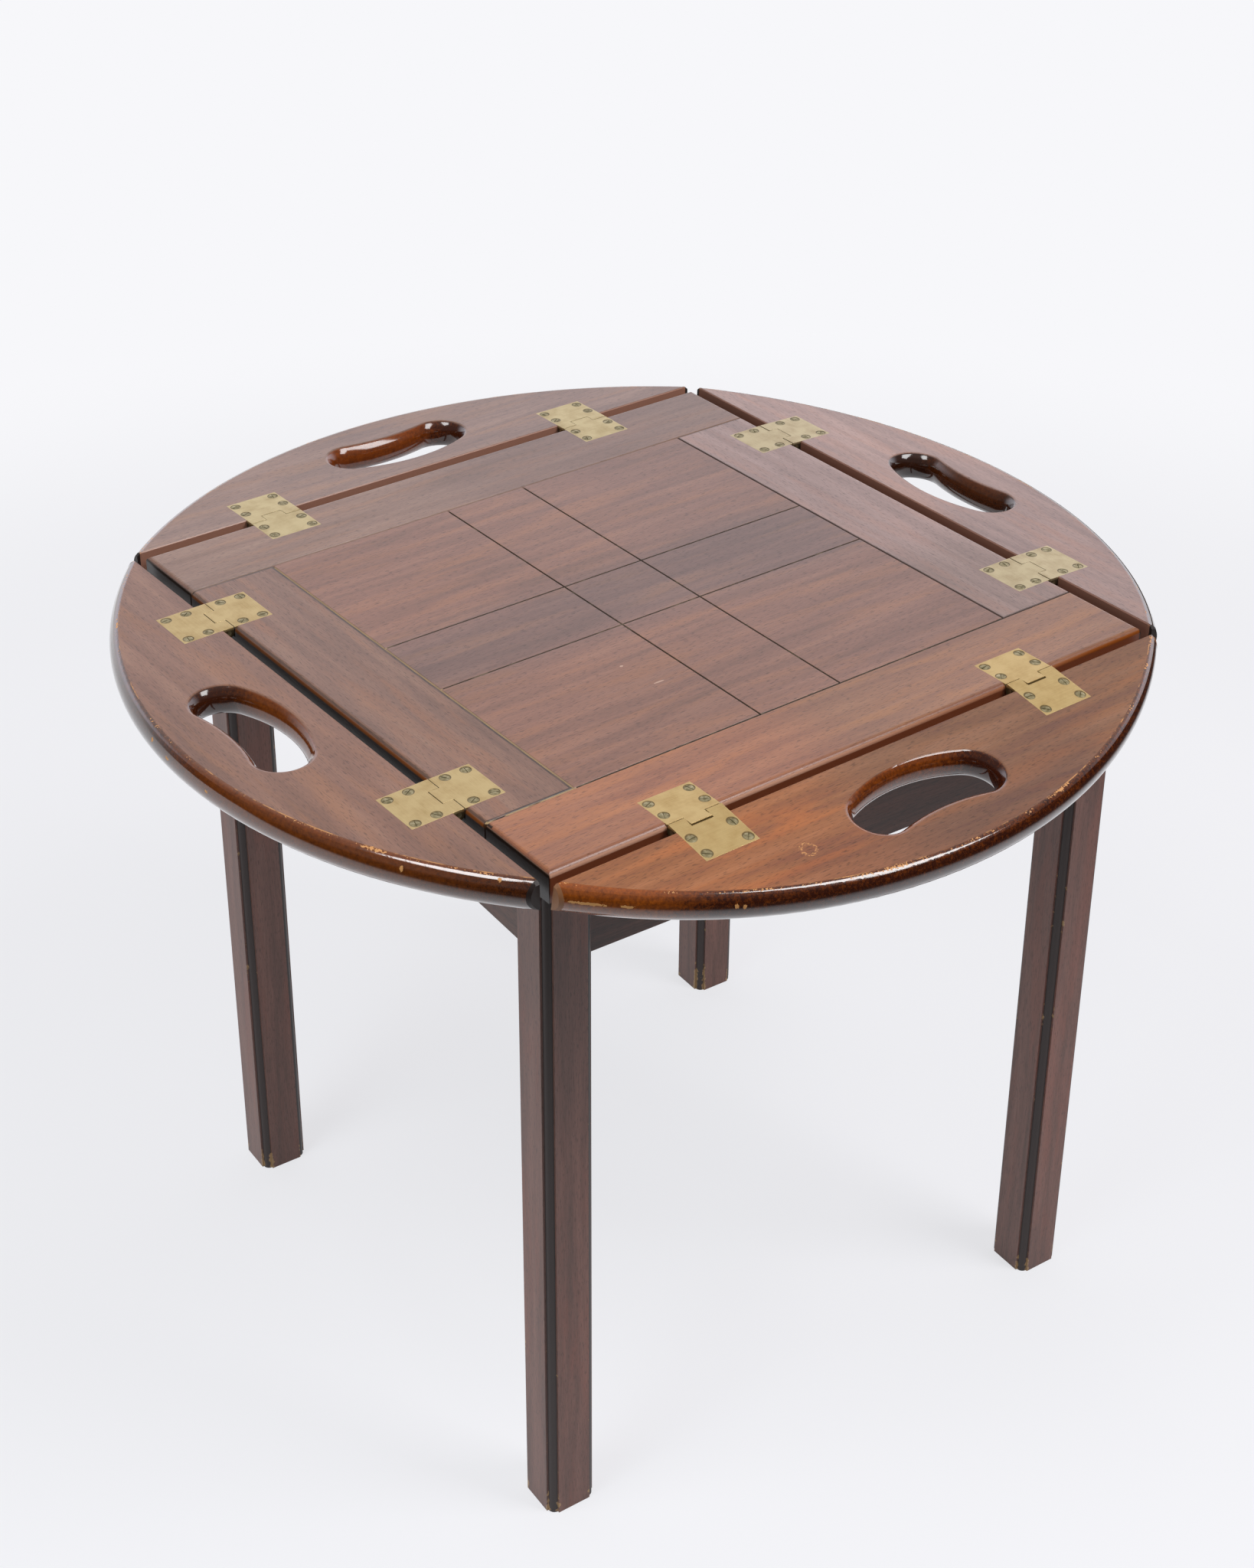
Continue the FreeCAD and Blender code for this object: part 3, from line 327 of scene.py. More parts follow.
def rail_wood(side, shades, warm, seed, worn, lips, wall_shading, painted_light=None, stripe=None, seams=(SEAM, WORN_SEAM)):
    """Lacquered mahogany rail. The face is satin and shows the grain. Its round-over is a line of rubbed stain deepened
    with painted shade, then the lip's colour, from one end to the other, painted with the light along it; on the front
    rail the pale one is a painted highlight. Below it the side in the gap is painted with its shade. The long rails'
    ends are end grain, painted near black with the shade at the tray's corners. Wax and dirt draw a dark line along
    the seams, worn pale here and there, more of it the higher worn is. A stripe is dirt beside them, as (width,
    colour), and painted_light a tint of painted light with its start and its full place along the rail."""
    turn, butted = TURN[side], side in ("left", "right")
    name = f"lacquered mahogany, {side} rail"
    material, tree, at, grain, pore = mahogany(name, tray_board(turn), shades, warm, seed, pores=0.45)
    spot = add(tree, "SeparateXYZ", {0: at})
    along, across, high = (spot.outputs[axis] for axis in "XYZ")
    away = add(tree, "Math", {0: across}, operation="ABSOLUTE")
    ends = add(tree, "Math", {0: along}, operation="ABSOLUTE")
    # painted light: the grain dims and tints along the rail, as sheen and light fall across it
    if painted_light:
        grain = drift(tree, grain, along, *painted_light)
    # painted light: the lip's colours change along the round-over as light falls on it; the front's pale one is a
    # highlight
    round_over = add(tree, "MapRange", {"Value": high, "From Min": -1.0 * MM, "From Max": -1.8 * MM}, **EASE)
    sweep = add(tree, "MapRange", {"Value": along, "From Min": -190 * MM, "From Max": 60 * MM})
    lip = add(tree, "MixRGB", {"Fac": sweep, "Color1": linear(lips[0]), "Color2": linear(lips[1])})
    colour = add(tree, "MixRGB", {"Fac": round_over, "Color1": grain, "Color2": lip})
    # a line of rubbed stain, deepened with painted shade in the side's colour
    rubbed = add(tree, "Math", {0: high, 1: -0.75 * MM, 2: 0.45 * MM}, operation="COMPARE")
    rubbed = add(tree, "Math", {0: rubbed, 1: 0.5}, operation="MULTIPLY")
    colour = add(tree, "MixRGB", {"Fac": rubbed, "Color1": colour, "Color2": linear(wall_shading)})
    # painted shade: the side down in the hinge gap
    down = add(tree, "MapRange", {"Value": high, "From Min": -3.2 * MM, "From Max": -4.0 * MM}, **EASE)
    colour = add(tree, "MixRGB", {"Fac": down, "Color1": colour, "Color2": linear(wall_shading)})
    seam = add(tree, "Math", {0: away, 1: PANEL + 5 * MM}, operation="LESS_THAN")
    if butted:
        end = add(tree, "Math", {0: ends, 1: PANEL - 1.5 * MM}, operation="GREATER_THAN")
        seam = add(tree, "Math", {0: seam, 1: end}, operation="MAXIMUM")
    else:
        # end grain, painted near black with the shade at the tray's corners
        end = {"Value": ends, "From Min": TRAY_HALF - 1.2 * MM, "From Max": TRAY_HALF - 0.4 * MM}
        end = add(tree, "MapRange", end)
        colour = add(tree, "MixRGB", {"Fac": end, "Color1": colour, "Color2": linear("#20150f")})
    rub = add(tree, "TexNoise", {"Vector": at, "Scale": 1 / (16 * MM), "Detail": 3.0})
    if stripe:
        # beside the seam with the panel and at the butted ends, thinner in places
        wide, dirt = stripe
        seam_side = {"Value": away, "From Min": PANEL + wide, "From Max": PANEL + 0.6 * wide, "To Max": 1.6}
        end_side = {"Value": ends, "From Min": PANEL - wide, "From Max": PANEL - 0.6 * wide, "To Max": 1.6}
        beside = {0: add(tree, "MapRange", seam_side, **EASE), 1: add(tree, "MapRange", end_side, **EASE)}
        beside = add(tree, "Math", beside, operation="MAXIMUM")
        beside = add(tree, "Math", {0: beside, 1: rub}, operation="MULTIPLY", use_clamp=True)
        colour = add(tree, "MixRGB", {"Fac": beside, "Color1": colour, "Color2": linear(dirt)})
    sunk = add(tree, "MapRange", {"Value": high, "From Min": -0.05 * MM, "From Max": -0.5 * MM})
    line = add(tree, "Math", {0: seam, 1: sunk}, operation="MULTIPLY")
    shallow = add(tree, "Math", {0: high, 1: -1.2 * MM}, operation="GREATER_THAN")
    line = add(tree, "Math", {0: line, 1: shallow}, operation="MULTIPLY")
    rub = add(tree, "MapRange", {"Value": rub, "From Min": 0.62 - worn, "From Max": 0.74 - worn})
    shade = add(tree, "MixRGB", {"Fac": rub, "Color1": linear(seams[0]), "Color2": linear(seams[1])})
    colour = add(tree, "MixRGB", {"Fac": line, "Color1": colour, "Color2": shade})
    rough = add(tree, "MapRange", {"Value": line, "To Min": SATIN, "To Max": WAXED})
    lacquer(tree, colour, rough, pore)
    return material


def panel_wood(shades, warm, seed):
    """Mahogany panel under satin lacquer: a calm sheen over the ribbons, greyer along the middle and towards the right,
    dark wax in the cut lines, a pale left seam, a faint back one, and two small scratches."""
    ribbon = 140 * MM, 9 * MM
    look = mahogany("mahogany panel", tray_board(0), shades, warm, seed, ribbon, glow=0.5, pores=0.5, fibre=0.4)
    material, tree, at, grain, pore = look
    spot = add(tree, "SeparateXYZ", {0: at})
    along, across, high = (spot.outputs[axis] for axis in "XYZ")
    middle = add(tree, "Math", {0: across}, operation="ABSOLUTE")
    middle = add(tree, "MapRange", {"Value": middle, "From Min": 60 * MM, "From Max": 15 * MM, "To Max": 0.9}, **EASE)
    grey = add(tree, "MapRange", {"Value": along, "From Min": -90 * MM, "From Max": 120 * MM, "To Max": 0.35}, **EASE)
    grey = add(tree, "Math", {0: grey, 1: middle}, operation="ADD", use_clamp=True)
    grain = add(tree, "MixRGB", {"Fac": grey, "Color1": grain, "Color2": linear("#dcebff")}, blend_type="MULTIPLY")
    sunk = add(tree, "MapRange", {"Value": high, "From Min": -0.03 * MM, "From Max": -0.35 * MM})
    rub = add(tree, "TexNoise", {"Vector": at, "Scale": 1 / (12 * MM), "Detail": 3.0})
    rub = add(tree, "MapRange", {"Value": rub, "From Min": 0.55, "From Max": 0.72})
    shade = add(tree, "MixRGB", {"Fac": rub, "Color1": linear("#2c2419"), "Color2": linear("#6f6250")})
    left = add(tree, "Math", {0: along, 1: 2 * MM - PANEL}, operation="LESS_THAN")
    shade = add(tree, "MixRGB", {"Fac": left, "Color1": shade, "Color2": linear("#a78e6f")})
    far = add(tree, "Math", {0: across, 1: PANEL - 2 * MM}, operation="GREATER_THAN")
    shade = add(tree, "MixRGB", {"Fac": far, "Color1": shade, "Color2": linear("#846a5e")})
    colour = add(tree, "MixRGB", {"Fac": sunk, "Color1": grain, "Color2": shade})
    scratch = spots(tree, at, SCRATCHES, 1.0)
    colour = add(tree, "MixRGB", {"Fac": scratch, "Color1": colour, "Color2": linear("#b3917f")})
    rough = add(tree, "MapRange", {"Value": sunk, "To Min": SATIN + 0.01, "To Max": WAXED})
    lacquer(tree, colour, rough, pore)
    return material


def leg_wood(shades, warm):
    """Stained mahogany legs under satin lacquer: plain upright grain, beads in their notches painted near black as the
    shade there, arrises rubbed to pale wood, most of all at the foot. The arrises are softened a little, so that they
    catch the light."""
    up = Matrix(((0, 0, 1, 0), (1, 0, 0, 0), (0, 1, 0, 0), (0, 0, 0, 1)))
    board, ribbon = up @ stand_board(), (160 * MM, 9 * MM)
    look = mahogany("stained mahogany legs", board, shades, warm, 0.2, ribbon, glow=0.5, pores=0.4, fibre=0.45)
    material, tree, at, grain, pore = look
    # folds the four legs on to one quarter of one leg, measured from its axis
    out = add(tree, "VectorMath", {0: at}, operation="ABSOLUTE")
    out = add(tree, "VectorMath", {0: out, 1: (0, LEG_AT, LEG_AT)}, operation="SUBTRACT")
    out = add(tree, "VectorMath", {0: out}, operation="ABSOLUTE")
    spot = add(tree, "SeparateXYZ", {0: out})
    near = add(tree, "Math", {0: spot.outputs["Y"], 1: spot.outputs["Z"]}, operation="MINIMUM")
    notch = LEG_HALF - LEG_NOTCH
    # painted shade: the beads sunk in the notches are near black
    bead_shade = add(tree, "MapRange", {"Value": near, "From Min": notch - 0.05 * MM, "From Max": notch + 0.25 * MM})
    colour = add(tree, "MixRGB", {"Fac": bead_shade, "Color1": grain, "Color2": linear("#2b1c18")})
    off = add(tree, "Math", {0: near, 1: notch}, operation="SUBTRACT")
    off = add(tree, "Math", {0: off}, operation="ABSOLUTE")
    chips = add(tree, "TexNoise", {"Vector": at, "Scale": 1 / (4 * MM), "Detail": 3.0})
    patches = add(tree, "TexNoise", {"Vector": at, "Scale": 1 / (40 * MM), "Detail": 1.0})
    low = {"Value": spot.outputs["X"], "From Min": 30 * MM, "From Max": 2 * MM, "To Max": 0.3}
    foot = add(tree, "MapRange", low, **EASE)
    rubbed = add(tree, "Math", {0: patches, 1: 0.8, 2: chips}, operation="MULTIPLY_ADD")
    rubbed = add(tree, "Math", {0: rubbed, 1: foot}, operation="ADD")
    kept = add(tree, "Math", {0: off, 1: LEG_THINNING / MM, 2: 1.10}, operation="MULTIPLY_ADD")
    bare = add(tree, "Math", {0: rubbed, 1: kept}, operation="SUBTRACT")
    bare = add(tree, "MapRange", {"Value": bare, "From Min": 0.0, "From Max": 0.08})
    colour = add(tree, "MixRGB", {"Fac": bare, "Color1": colour, "Color2": linear("#a9835a")})
    soft = add(tree, "Bevel", {"Radius": 0.7 * MM}, samples=4)
    rough = add(tree, "MapRange", {"Value": bead_shade, "To Min": LEG_SHEEN, "To Max": BEAD_SHEEN})
    lacquer(tree, colour, rough, pore, soft)
    return material


def apron_wood(name, turn, shades, warm):
    """Stained mahogany apron under satin lacquer: straight dark grain along it, and a low sheen in the shade."""
    board, ribbon = stand_board(turn), (200 * MM, 6 * MM)
    look = mahogany(name, board, shades, warm, 0.6, ribbon, glow=0.4, pores=0.6, fibre=0.6)
    material, tree, _, grain, pore = look
    soft = add(tree, "Bevel", {"Radius": 0.6 * MM}, samples=4)
    lacquer(tree, grain, APRON_SHEEN, pore, soft)
    return material


def brushed_brass(side, shades):
    """Brushed sheet brass, gone dull: a broad soft shine with fine strokes along the gap, clouds of tarnish, and dirt
    with painted shade in the gap and round the screws. Under its film of tarnish it is a little less than all metal."""
    material, tree = new_tree(f"brushed brass, {side} hinges")
    here = add(tree, "TexCoord").outputs["Object"]
    at = add(tree, "Mapping", {"Vector": here, "Rotation": (0, 0, math.radians(-TURN[side]))})
    # strokes 0.5 mm wide, coarser than the real brushing so that they show
    strokes = streaks(tree, at, 20 * MM, 0.5 * MM, roughness=0.6)
    cloud = add(tree, "TexNoise", {"Vector": at, "Scale": 1 / (11 * MM), "Detail": 3.0, "Roughness": 0.6})
    mix = add(tree, "Math", {0: strokes, 1: 0.45, 2: cloud}, operation="MULTIPLY_ADD")
    colour = add(tree, "ValToRGB", {"Fac": mix}, stops=[(0.45, shades[0]), (0.85, shades[2]), (0.62, shades[1])])
    rough = add(tree, "MapRange", {"Value": mix, "From Min": 0.4, "From Max": 0.9, "To Min": 0.52, "To Max": 0.44})
    soft = add(tree, "Bevel", {"Radius": 0.5 * MM}, samples=4)
    bump = add(tree, "Bump", {"Height": strokes, "Strength": 0.12, "Distance": 0.05 * MM, "Normal": soft})
    # dirt and painted shade in the gap, on the knuckles below the face
    spot = add(tree, "SeparateXYZ", {0: at})
    out = add(tree, "Math", {0: spot.outputs["Y"]}, operation="ABSOLUTE")
    out = add(tree, "Math", {0: out, 1: AXIS, 2: 5 * MM}, operation="COMPARE")
    low = {"Value": spot.outputs["Z"], "From Min": TOP - 0.9 * MM, "From Max": TOP - 2.2 * MM, "To Max": 0.85}
    grime_and_shade = add(tree, "Math", {0: out, 1: add(tree, "MapRange", low)}, operation="MULTIPLY")
    # folds the plate's eight screw holes on to one, and rings it with dirt and painted shade
    near_row, far_row = SCREW_ROWS
    hole = at
    for step in ((HINGE_AT, AXIS), (SCREW_GAUGE, (near_row + far_row) / 2), (0, (far_row - near_row) / 2)):
        hole = add(tree, "VectorMath", {0: hole}, operation="ABSOLUTE")
        hole = add(tree, "VectorMath", {0: hole, 1: (*step, 0)}, operation="SUBTRACT")
    hole = add(tree, "VectorMath", {0: hole, 1: (1, 1, 0)}, operation="MULTIPLY")
    hole = add(tree, "VectorMath", {0: hole}, operation="LENGTH").outputs["Value"]
    ring = add(tree, "MapRange", {"Value": hole, "From Min": 3.9 * MM, "From Max": 3.4 * MM, "To Max": 0.75}, **EASE)
    grime_and_shade = add(tree, "Math", {0: grime_and_shade, 1: ring}, operation="MAXIMUM")
    colour = add(tree, "MixRGB", {"Fac": grime_and_shade, "Color1": colour, "Color2": linear("#3a3020")})
    metal = {"Base Color": colour, "Metallic": 0.85, "Roughness": rough, "Normal": bump}
    add(tree, "OutputMaterial", {"Surface": add(tree, "BsdfPrincipled", metal)})
    return material


def dull_brass(name):
    """Turned brass of screws and pins, dulled by handling: grey-olive with little shine, and dark dirt in patches."""
    material, tree = new_tree(name)
    here = add(tree, "TexCoord").outputs["Object"]
    cloud = add(tree, "TexNoise", {"Vector": here, "Scale": 1 / (2.5 * MM), "Detail": 3.0})
    colour = add(tree, "ValToRGB", {"Fac": cloud}, stops=[(0.35, "#7c7252"), (0.68, "#b8ac8a"), (0.5, "#9b8f6c")])
    rough = add(tree, "MapRange", {"Value": cloud, "From Min": 0.3, "From Max": 0.7, "To Min": 0.55, "To Max": 0.42})
    metal = {"Base Color": colour, "Metallic": 1.0, "Roughness": rough}
    add(tree, "OutputMaterial", {"Surface": add(tree, "BsdfPrincipled", metal)})
    return material


def slotted_screw():
    """One countersunk screw on its axis, face at zero. The face is a grid of chords: x steps across the slot, and
    y = t * sqrt(r^2 - x^2) along it, sunk where |x| is under half the slot. Its outer loop shrinks to the shank
    below."""
    r, slot, deep, crown = 3.1 * MM, 0.22 * MM, 0.4 * MM, 0.22 * MM
    core, length, sink = 1.2 * MM, 11.5 * MM, 0.2 * MM
    side = np.array([0.30, 0.55, 0.78, 0.93, 1.0]) * r
    x = np.concatenate([-side[::-1], [-slot, -slot, slot, slot], side])
    cut = np.zeros(len(x), bool)
    cut[len(side) + 1 : len(side) + 3] = True
    reach = np.sqrt(np.maximum(np.where(cut, r - deep, r) ** 2 - x**2, 0))
    t = np.array([-1, -0.85, -0.5, 0, 0.5, 0.85, 1.0])
    X, Y = np.broadcast_arrays(x[:, None], t * reach[:, None])
    Z = np.where(cut[:, None], -deep, crown * (1 - (X**2 + Y**2) / r**2))
    face = np.stack([X, Y, Z], -1)
    loop = np.concatenate([face[:, -1], face[::-1, 0]])
    ring = loop[:, :2] / np.maximum(np.linalg.norm(loop[:, :2], axis=1, keepdims=True), 1e-9) * core
    neck = np.column_stack([ring, np.full(len(ring), core - r)])
    tip = np.column_stack([ring, np.full(len(ring), -length)])
    body = np.stack([loop, neck, tip, tip * (0, 0, 1)])
    points = np.concatenate([face.reshape(-1, 3), body.reshape(-1, 3)]) - (0, 0, sink)
    n, m = face.shape[:2]
    i, j = np.meshgrid(np.arange(n - 1), np.arange(m - 1), indexing="ij")
    quads = np.stack([i * m + j, (i + 1) * m + j, (i + 1) * m + j + 1, i * m + j + 1], -1).reshape(-1, 4)
    level, here = np.meshgrid(np.arange(3), np.arange(len(loop)), indexing="ij")
    upper, lower, after = level * len(loop), (level + 1) * len(loop), (here + 1) % len(loop)
    rings = np.stack([upper + here, upper + after, lower + after, lower + here], -1).reshape(-1, 4) + n * m
    return points, np.concatenate([quads, rings])


def screws(name, node, body, places, material):
    """Copies of the screw at the given places, each turned on its axis by another multiple of the golden angle."""
    golden = 2.39996
    points, faces = slotted_screw()
    spin = np.arange(len(places)) * golden + len(name)
    c, s, o = np.cos(spin), np.sin(spin), np.zeros(len(places))
    turns = np.stack([np.stack([c, -s, o], -1), np.stack([s, c, o], -1), np.stack([o, o, o + 1], -1)], 1)
    spun = np.einsum("nij,kj->nki", turns, points)
    placed = np.einsum("nij,nkj->nki", places[:, :3, :3], spun) + places[:, None, :3, 3]
    index = faces[None] + (np.arange(len(places)) * len(points))[:, None, None]
    mesh = bpy.data.meshes.new(name)
    mesh.from_pydata(placed.reshape(-1, 3), [], index.reshape(-1, 4).tolist())
    work = bmesh.new()
    work.from_mesh(mesh)
    bmesh.ops.remove_doubles(work, verts=work.verts, dist=2e-6)
    bmesh.ops.dissolve_degenerate(work, edges=work.edges, dist=1e-6)
    bmesh.ops.recalc_face_normals(work, faces=work.faces)
    work.to_mesh(mesh)
    work.free()
    mesh.materials.append(material)
    piece = bpy.data.objects.new(name, mesh)
    bpy.context.scene.collection.objects.link(piece)
    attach(piece, body)
    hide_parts(node)


def screw_places(side, outward):
    """Places of a side's screws: over its two hinges, each side of their centre line, in two rows from the pins.
    outward is 1 on the leaf and -1 on the tray."""
    u = np.array([h + g for h in (-HINGE_AT, HINGE_AT) for g in (-SCREW_GAUGE, SCREW_GAUGE)])
    v = AXIS + outward * np.array(SCREW_ROWS)
    on_board = [Matrix.Translation((a, b, TOP)) for a in u for b in v]
    board = leaf_board(side) if outward > 0 else tray_board(TURN[side])
    back = board.inverted() @ Matrix.Translation((0, 0, -TOP))
    return np.array([back @ place for place in on_board])


def dress(node, material):
    """Gives a CAD node its material."""
    mesh = frame["nodes"][node].data
    mesh.materials.clear()
    mesh.materials.append(material)


# Woods: shades are the grain from dark to light, warm the patches where the stain is warmer
dress("tray_panel", panel_wood(shades=("#745041", "#815848", "#8e6350"), warm="#9b6748", seed=0.0))

RAILS = {
    "back": {
        "shades": ("#785949", "#836354", "#8f6f5e"), "warm": "#9b6f53", "seed": 0.9,
        "worn": -0.2, "lips": ("#8a6350", "#8a6350"), "wall_shading": "#6a3a26",
        "painted_light": ("#e2dfe2", -70 * MM, 40 * MM), "seams": ("#7d6458", "#927a6b"),
    },
    "left": {
        "shades": ("#6c4e41", "#7a5849", "#876452"), "warm": "#916044", "seed": 1.7,
        "worn": 0.2, "lips": ("#8a4a20", "#6e3f22"), "wall_shading": "#1c0f08",
        "stripe": (2.6 * MM, "#2e2018"),
    },
    "front": {
        "shades": ("#84533f", "#925e45", "#a0694c"), "warm": "#b16f42", "seed": 2.6,
        "worn": 0.02, "lips": ("#8f4a18", "#c8957c"), "wall_shading": "#7a4026",
        "painted_light": ("#e9f8ff", 60 * MM, -20 * MM),
    },
    "right": {
        "shades": ("#81665f", "#8e726b", "#9a7d76"), "warm": "#9b7162", "seed": 3.4,
        "worn": -0.2, "lips": ("#8a6a5c", "#8a6a5c"), "wall_shading": "#5c3a2c",
        "painted_light": ("#e6e6e2", 40 * MM, 100 * MM), "stripe": (1.7 * MM, "#4a332b"),
    },
}
for side, look in RAILS.items():
    dress(f"tray_rail_{side}", rail_wood(side, **look))

LEAVES = {
    "back": {
        "shades": ("#77594c", "#866556", "#947261"), "warm": "#9d6f4d", "seed": 4.3,
        "edge_tones": ("#3a180b", "#863f0f"), "glow": (0, 20 * MM), "hollow": 0.6, "shaded_end": 1,
        "chips": 1.10, "wall_shading": "#a07260", "tip": "#1c0d08",
        "painted_light": ("#efeded", -120 * MM, -20 * MM),
    },
    "left": {
        "shades": ("#745142", "#815b4b", "#8e6754"), "warm": "#956445", "seed": 5.2,
        "edge_tones": ("#37170a", "#7c3c0f"), "glow": (-105 * MM, 150 * MM), "hollow": 0.6, "shaded_end": 1,
        "chips": 1.02, "wall_shading": "#3a2418", "tip": "#1c0d08",
        "marks": (
            (33, 6.0, 1.5, 1.8), (12, 8.0, 2.0, 1.0), (-33, 8.7, 1.5, 0.9),
            (-172, 4.8, 1.0, 2.0), (-218, 1.5, 1.2, 1.2),
        ),
    },
    "front": {
        "shades": ("#895339", "#99603c", "#a86c47"), "warm": "#bb6c39", "seed": 6.1,
        "edge_tones": ("#38150a", "#a04f12"), "glow": (232 * MM, 76 * MM), "hollow": 0.3, "shaded_end": -1,
        "chips": 1.06, "wall_shading": "#6b3c26", "tip": "#8a5a3a",
        "marks": ((222, 7.8, 11, 0.9), (205, 7.6, 4, 0.8), (153, 6.6, 1.2, 1.4), (149, 7.0, 1.0, 1.6)),
        "ring": ((94 * MM, 288 * MM), 4.6 * MM), "painted_light": ("#d0e2ff", 95 * MM, 0.0), "rim_shade": "#e2e2f2",
    },
    "right": {
        "shades": ("#84645b", "#947369", "#a38075"), "warm": "#a97761", "seed": 7.0,
        "edge_tones": ("#2c1308", "#5c2c10"), "glow": (0, 20 * MM), "hollow": 0.5,
        "chips": 1.10, "wall_shading": "#83594a", "tip": "#1c0d08",
        "painted_light": ("#e3e3e3", -20 * MM, 80 * MM),
    },
}
for side, look in LEAVES.items():
    dress(f"leaf_{side}", leaf_wood(side, **look))

legs = leg_wood(shades=("#5f3f35", "#734c41", "#83594d"), warm="#854b3b")
for corner in ("back_right", "back_left", "front_left", "front_right"):
    dress(f"leg_{corner}", legs)
for turn, name, pair in ((0, "long", ("back", "front")), (90, "short", ("left", "right"))):
    apron = apron_wood(f"stained mahogany aprons, {name}", turn, ("#42261c", "#583528", "#694132"), "#653624")
    for side in pair:
        dress(f"apron_{side}", apron)

# Hinges: each side's brass has its own shades, lit and shaded copies of one brass for how light falls on that side
dull = dull_brass("dulled turned brass")
BRASS = {
    "back": ("#b5a073", "#c1ad82", "#cbb98d"),
    "left": ("#b69c68", "#c2a877", "#cbb381"),
    "front": ("#ba9c63", "#c5a771", "#cfb37c"),
    "right": ("#b09c78", "#bcaa87", "#c6b691"),
}
for side, shades in BRASS.items():
    brass = brushed_brass(side, shades)
    for pair in "ab":
        dress(f"hinge_{side}_{pair}_tray_plate", brass)
        dress(f"hinge_{side}_{pair}_leaf_plate", brass)
        dress(f"hinge_{side}_{pair}_pin", dull)
    screws(f"slotted_screws_{side}_leaf", f"leaf_{side}_screws", f"{side}_leaf", screw_places(side, 1), dull)
tray_places = np.concatenate([screw_places(side, -1) for side in TURN])
screws("slotted_screws_tray", "tray_screws", "tray", tray_places, dull)

# Floor: pale matt paper that runs to white. It runs out in front of the table and at its right, beyond the picture, so
# what the rims mirror there is dim.
material, tree = new_tree("pale studio floor")
here = add(tree, "NewGeometry").outputs["Position"]
flat = add(tree, "VectorMath", {0: here, 1: (1, 1, 0)}, operation="MULTIPLY")
away = add(tree, "VectorMath", {0: flat}, operation="LENGTH").outputs["Value"]
far = add(tree, "MapRange", {"Value": away, "From Min": 1.0, "From Max": 1.7}, **EASE)
far = add(tree, "MapRange", {"Value": far, "To Min": 0.74, "To Max": 1.0})
front = add(tree, "VectorMath", {0: here, 1: EYE_SIDE}, operation="DOT_PRODUCT").outputs["Value"]
paper = add(tree, "MapRange", {"Value": front, "From Min": 1.2, "From Max": 0.45}, **EASE)
aside = add(tree, "VectorMath", {0: here, 1: RIGHT_SIDE}, operation="DOT_PRODUCT").outputs["Value"]
aside = add(tree, "MapRange", {"Value": aside, "From Min": 1.5, "From Max": 0.7}, **EASE)
paper = add(tree, "Math", {0: paper, 1: aside}, operation="MULTIPLY")
ray = add(tree, "LightPath").outputs
mirror = add(tree, "Math", {0: ray["Is Glossy Ray"], 1: ray["Is Transmission Ray"]}, operation="MAXIMUM")
mirror = add(tree, "Math", {0: mirror, 1: paper}, operation="MULTIPLY")
seen = add(tree, "Math", {0: ray["Is Camera Ray"], 1: mirror}, operation="MAXIMUM")
share = add(tree, "Math", {0: seen, 1: far}, operation="MULTIPLY")
tone = add(tree, "MixRGB", {"Fac": paper, "Color1": linear("#45403d"), "Color2": linear("#f0eff4")})
matt = add(tree, "BsdfDiffuse", {"Color": tone})
glow = add(tree, "Emission", {"Color": linear(PAPER)})
add(tree, "OutputMaterial", {"Surface": add(tree, "MixShader", {0: share, 1: matt, 2: glow})})
half = 30.0
mesh = bpy.data.meshes.new("floor")
mesh.from_pydata([(-half, -half, 0), (half, -half, 0), (half, half, 0), (-half, half, 0)], [], [(0, 1, 2, 3)])
mesh.materials.append(material)
floor = bpy.data.objects.new("floor", mesh)
bpy.context.scene.collection.objects.link(floor)

# World: a bright backdrop behind the table, grey overhead and dim elsewhere
world = bpy.data.worlds.new("pale dome")
bpy.context.scene.world = world
world.use_nodes = True
tree = world.node_tree
tree.nodes.clear()
toward = add(tree, "TexCoord").outputs["Generated"]
high = add(tree, "SeparateXYZ", {0: toward}).outputs["Z"]
backdrop = [
    (0.0, "#b6b6b6"), (1.0, "#303030"), (0.36, "#d8d8e4"), (0.44, "#c6c6d0"), (0.53, "#8c8c8c"), (0.72, "#6a6a68"),
]
backdrop = add(tree, "ValToRGB", {"Fac": high}, stops=backdrop)
behind = add(tree, "VectorMath", {0: toward, 1: FAR_SIDE}, operation="DOT_PRODUCT").outputs["Value"]
behind = add(tree, "MapRange", {"Value": behind, "From Min": 0.1, "From Max": 0.7, "To Max": 2.25}, **EASE)
roof = add(tree, "MapRange", {"Value": high, "From Min": 0.6, "From Max": 0.95, "To Min": 0.03, "To Max": 0.25}, **EASE)
# mirrored rays meet a paler room all round, so that the brass stays brass from every side
ray = add(tree, "LightPath").outputs
band = add(tree, "MapRange", {"Value": high, "From Min": 0.15, "From Max": 0.35, "To Max": 0.14}, **EASE)
band = add(tree, "Math", {0: band, 1: ray["Is Glossy Ray"]}, operation="MULTIPLY")
roof = add(tree, "Math", {0: roof, 1: band}, operation="ADD")
glow = add(tree, "VectorMath", {0: backdrop, "Scale": behind}, operation="SCALE")
glow = add(tree, "VectorMath", {0: glow, 1: roof}, operation="ADD")
room = add(tree, "Background", {"Color": glow})
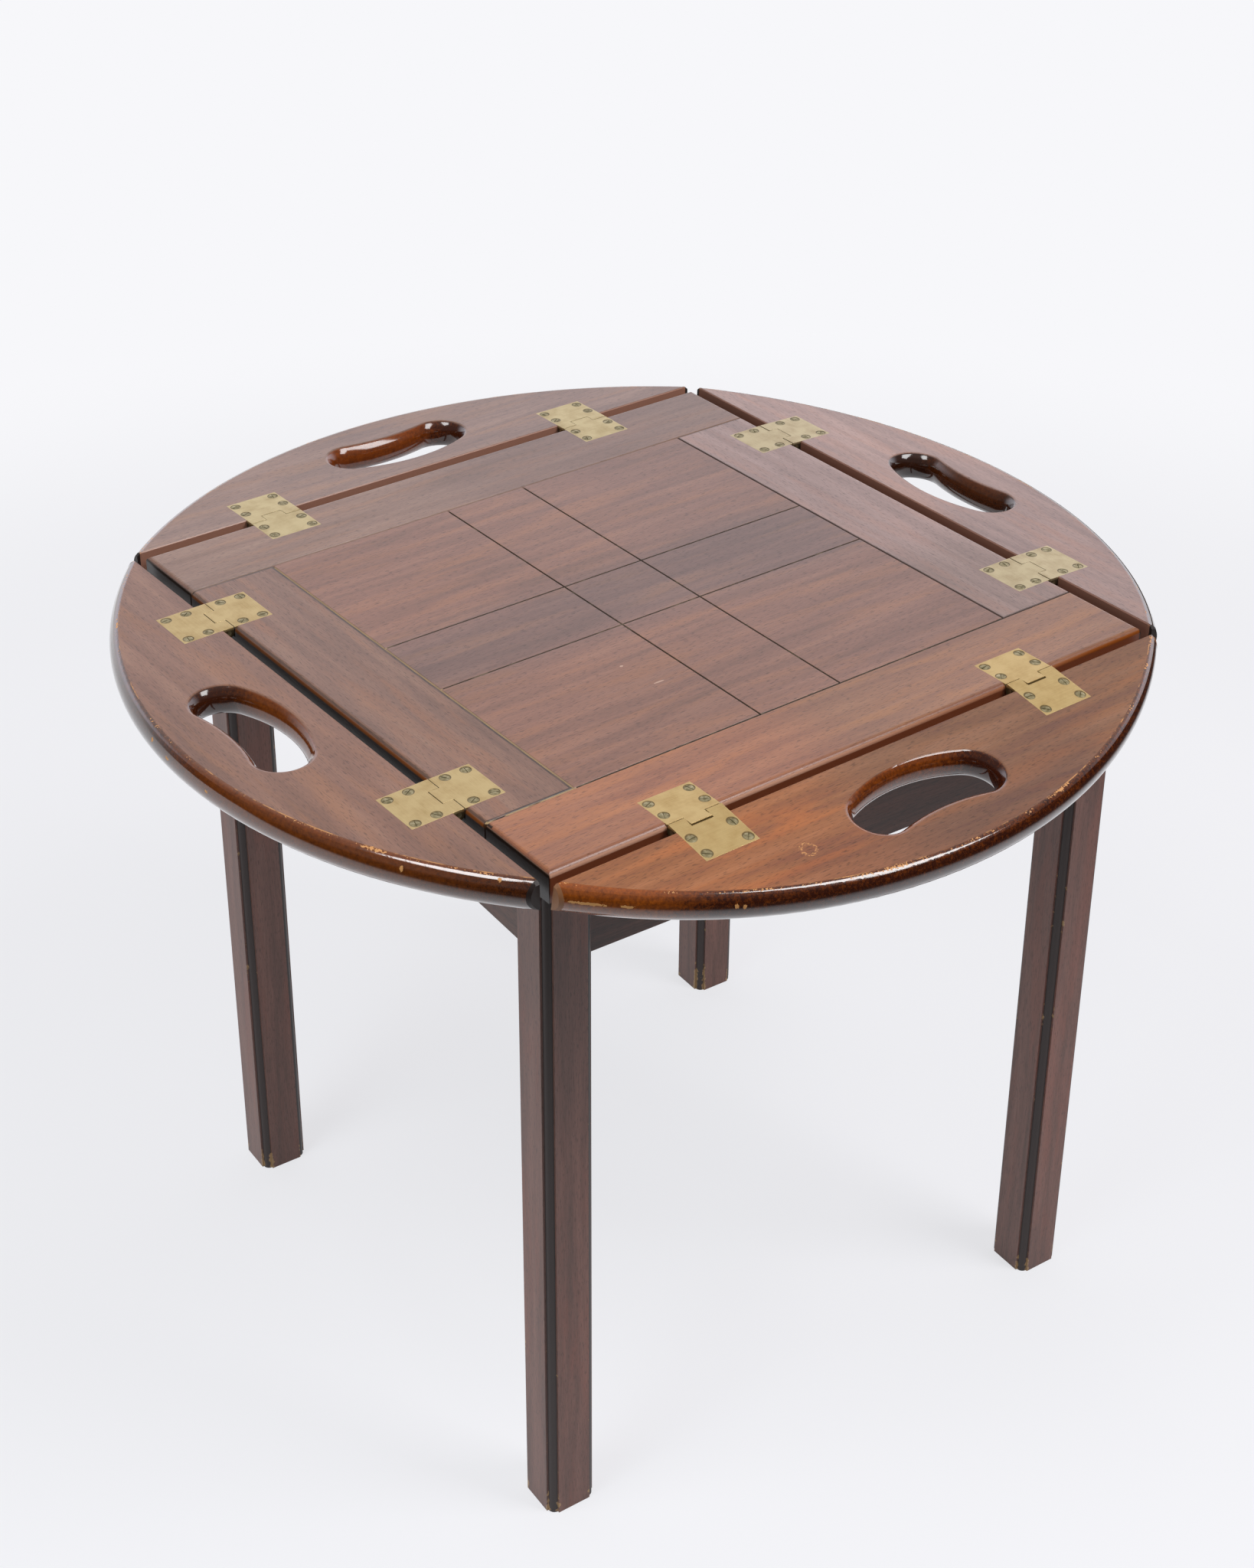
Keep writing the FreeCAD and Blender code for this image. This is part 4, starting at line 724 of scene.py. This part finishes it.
# the eye itself meets the same pale paper as on the floor, so that a low view has no dark sky
paper = add(tree, "Background", {"Color": linear(PAPER)})
add(tree, "OutputWorld", {"Surface": add(tree, "MixShader", {0: ray["Is Camera Ray"], 1: room, 2: paper})})

# Lamps: a soft one overhead, a soft one at the right, and a weak fill at the left that nothing mirrors
for name, place, aim, wide, tall, watts, tint in (
    ("softbox overhead", (-1.15, 0.0, 2.5), (0, 0, 0.5), 0.8, 0.8, 20, "#ffffff"),
    ("softbox at the right", (0.85, -1.30, 2.35), (0, 0, 0.5), 0.95, 1.3, 38, "#ffffff"),
    ("fill at the left", (-2.4, -0.6, 1.3), (0, 0, 0.4), 1.2, 1.2, 15, "#e3ffff"),
):
    lamp = bpy.data.lights.new(name, "AREA")
    lamp.shape = "RECTANGLE"
    lamp.energy, lamp.size, lamp.size_y, lamp.color = watts, wide, tall, linear(tint)[:3]
    lamp_object = bpy.data.objects.new(name, lamp)
    lamp_object.location = place
    lamp_object.rotation_euler = (Vector(aim) - Vector(place)).to_track_quat("-Z", "Y").to_euler()
    lamp_object.visible_glossy = not name.startswith("fill")
    bpy.context.scene.collection.objects.link(lamp_object)

# Camera: where it stood, its direction and a small roll; the optical axis lies above the middle of the picture
CAMERA_AT = -0.90672, -1.19211, 1.32508
FOCAL, TALL, AXIS_ROW = 3406.71, 2048, 819  # in pixels: focal length, picture height, row of the optical axis
SENSOR = 36  # in millimetres
turn, tilt, roll = (math.radians(a) for a in (-37.14, 29.04, 0.34))
back = Vector((math.sin(turn) * math.cos(tilt), -math.cos(turn) * math.cos(tilt), math.sin(tilt)))
right = Vector((0, 0, 1)).cross(back).normalized()
over = back.cross(right)
right, over = right * math.cos(roll) + over * math.sin(roll), over * math.cos(roll) - right * math.sin(roll)
lens = bpy.data.cameras.new("camera")
lens.lens, lens.sensor_width = FOCAL * SENSOR / TALL, SENSOR
lens.shift_y = (AXIS_ROW - TALL / 2) / TALL
camera = bpy.data.objects.new("camera", lens)
axes = Matrix((right, over, back)).transposed().to_4x4()
camera.matrix_world = Matrix.Translation(CAMERA_AT) @ axes
bpy.context.scene.collection.objects.link(camera)
bpy.context.scene.camera = camera
bpy.context.scene.view_settings.view_transform = "Standard"
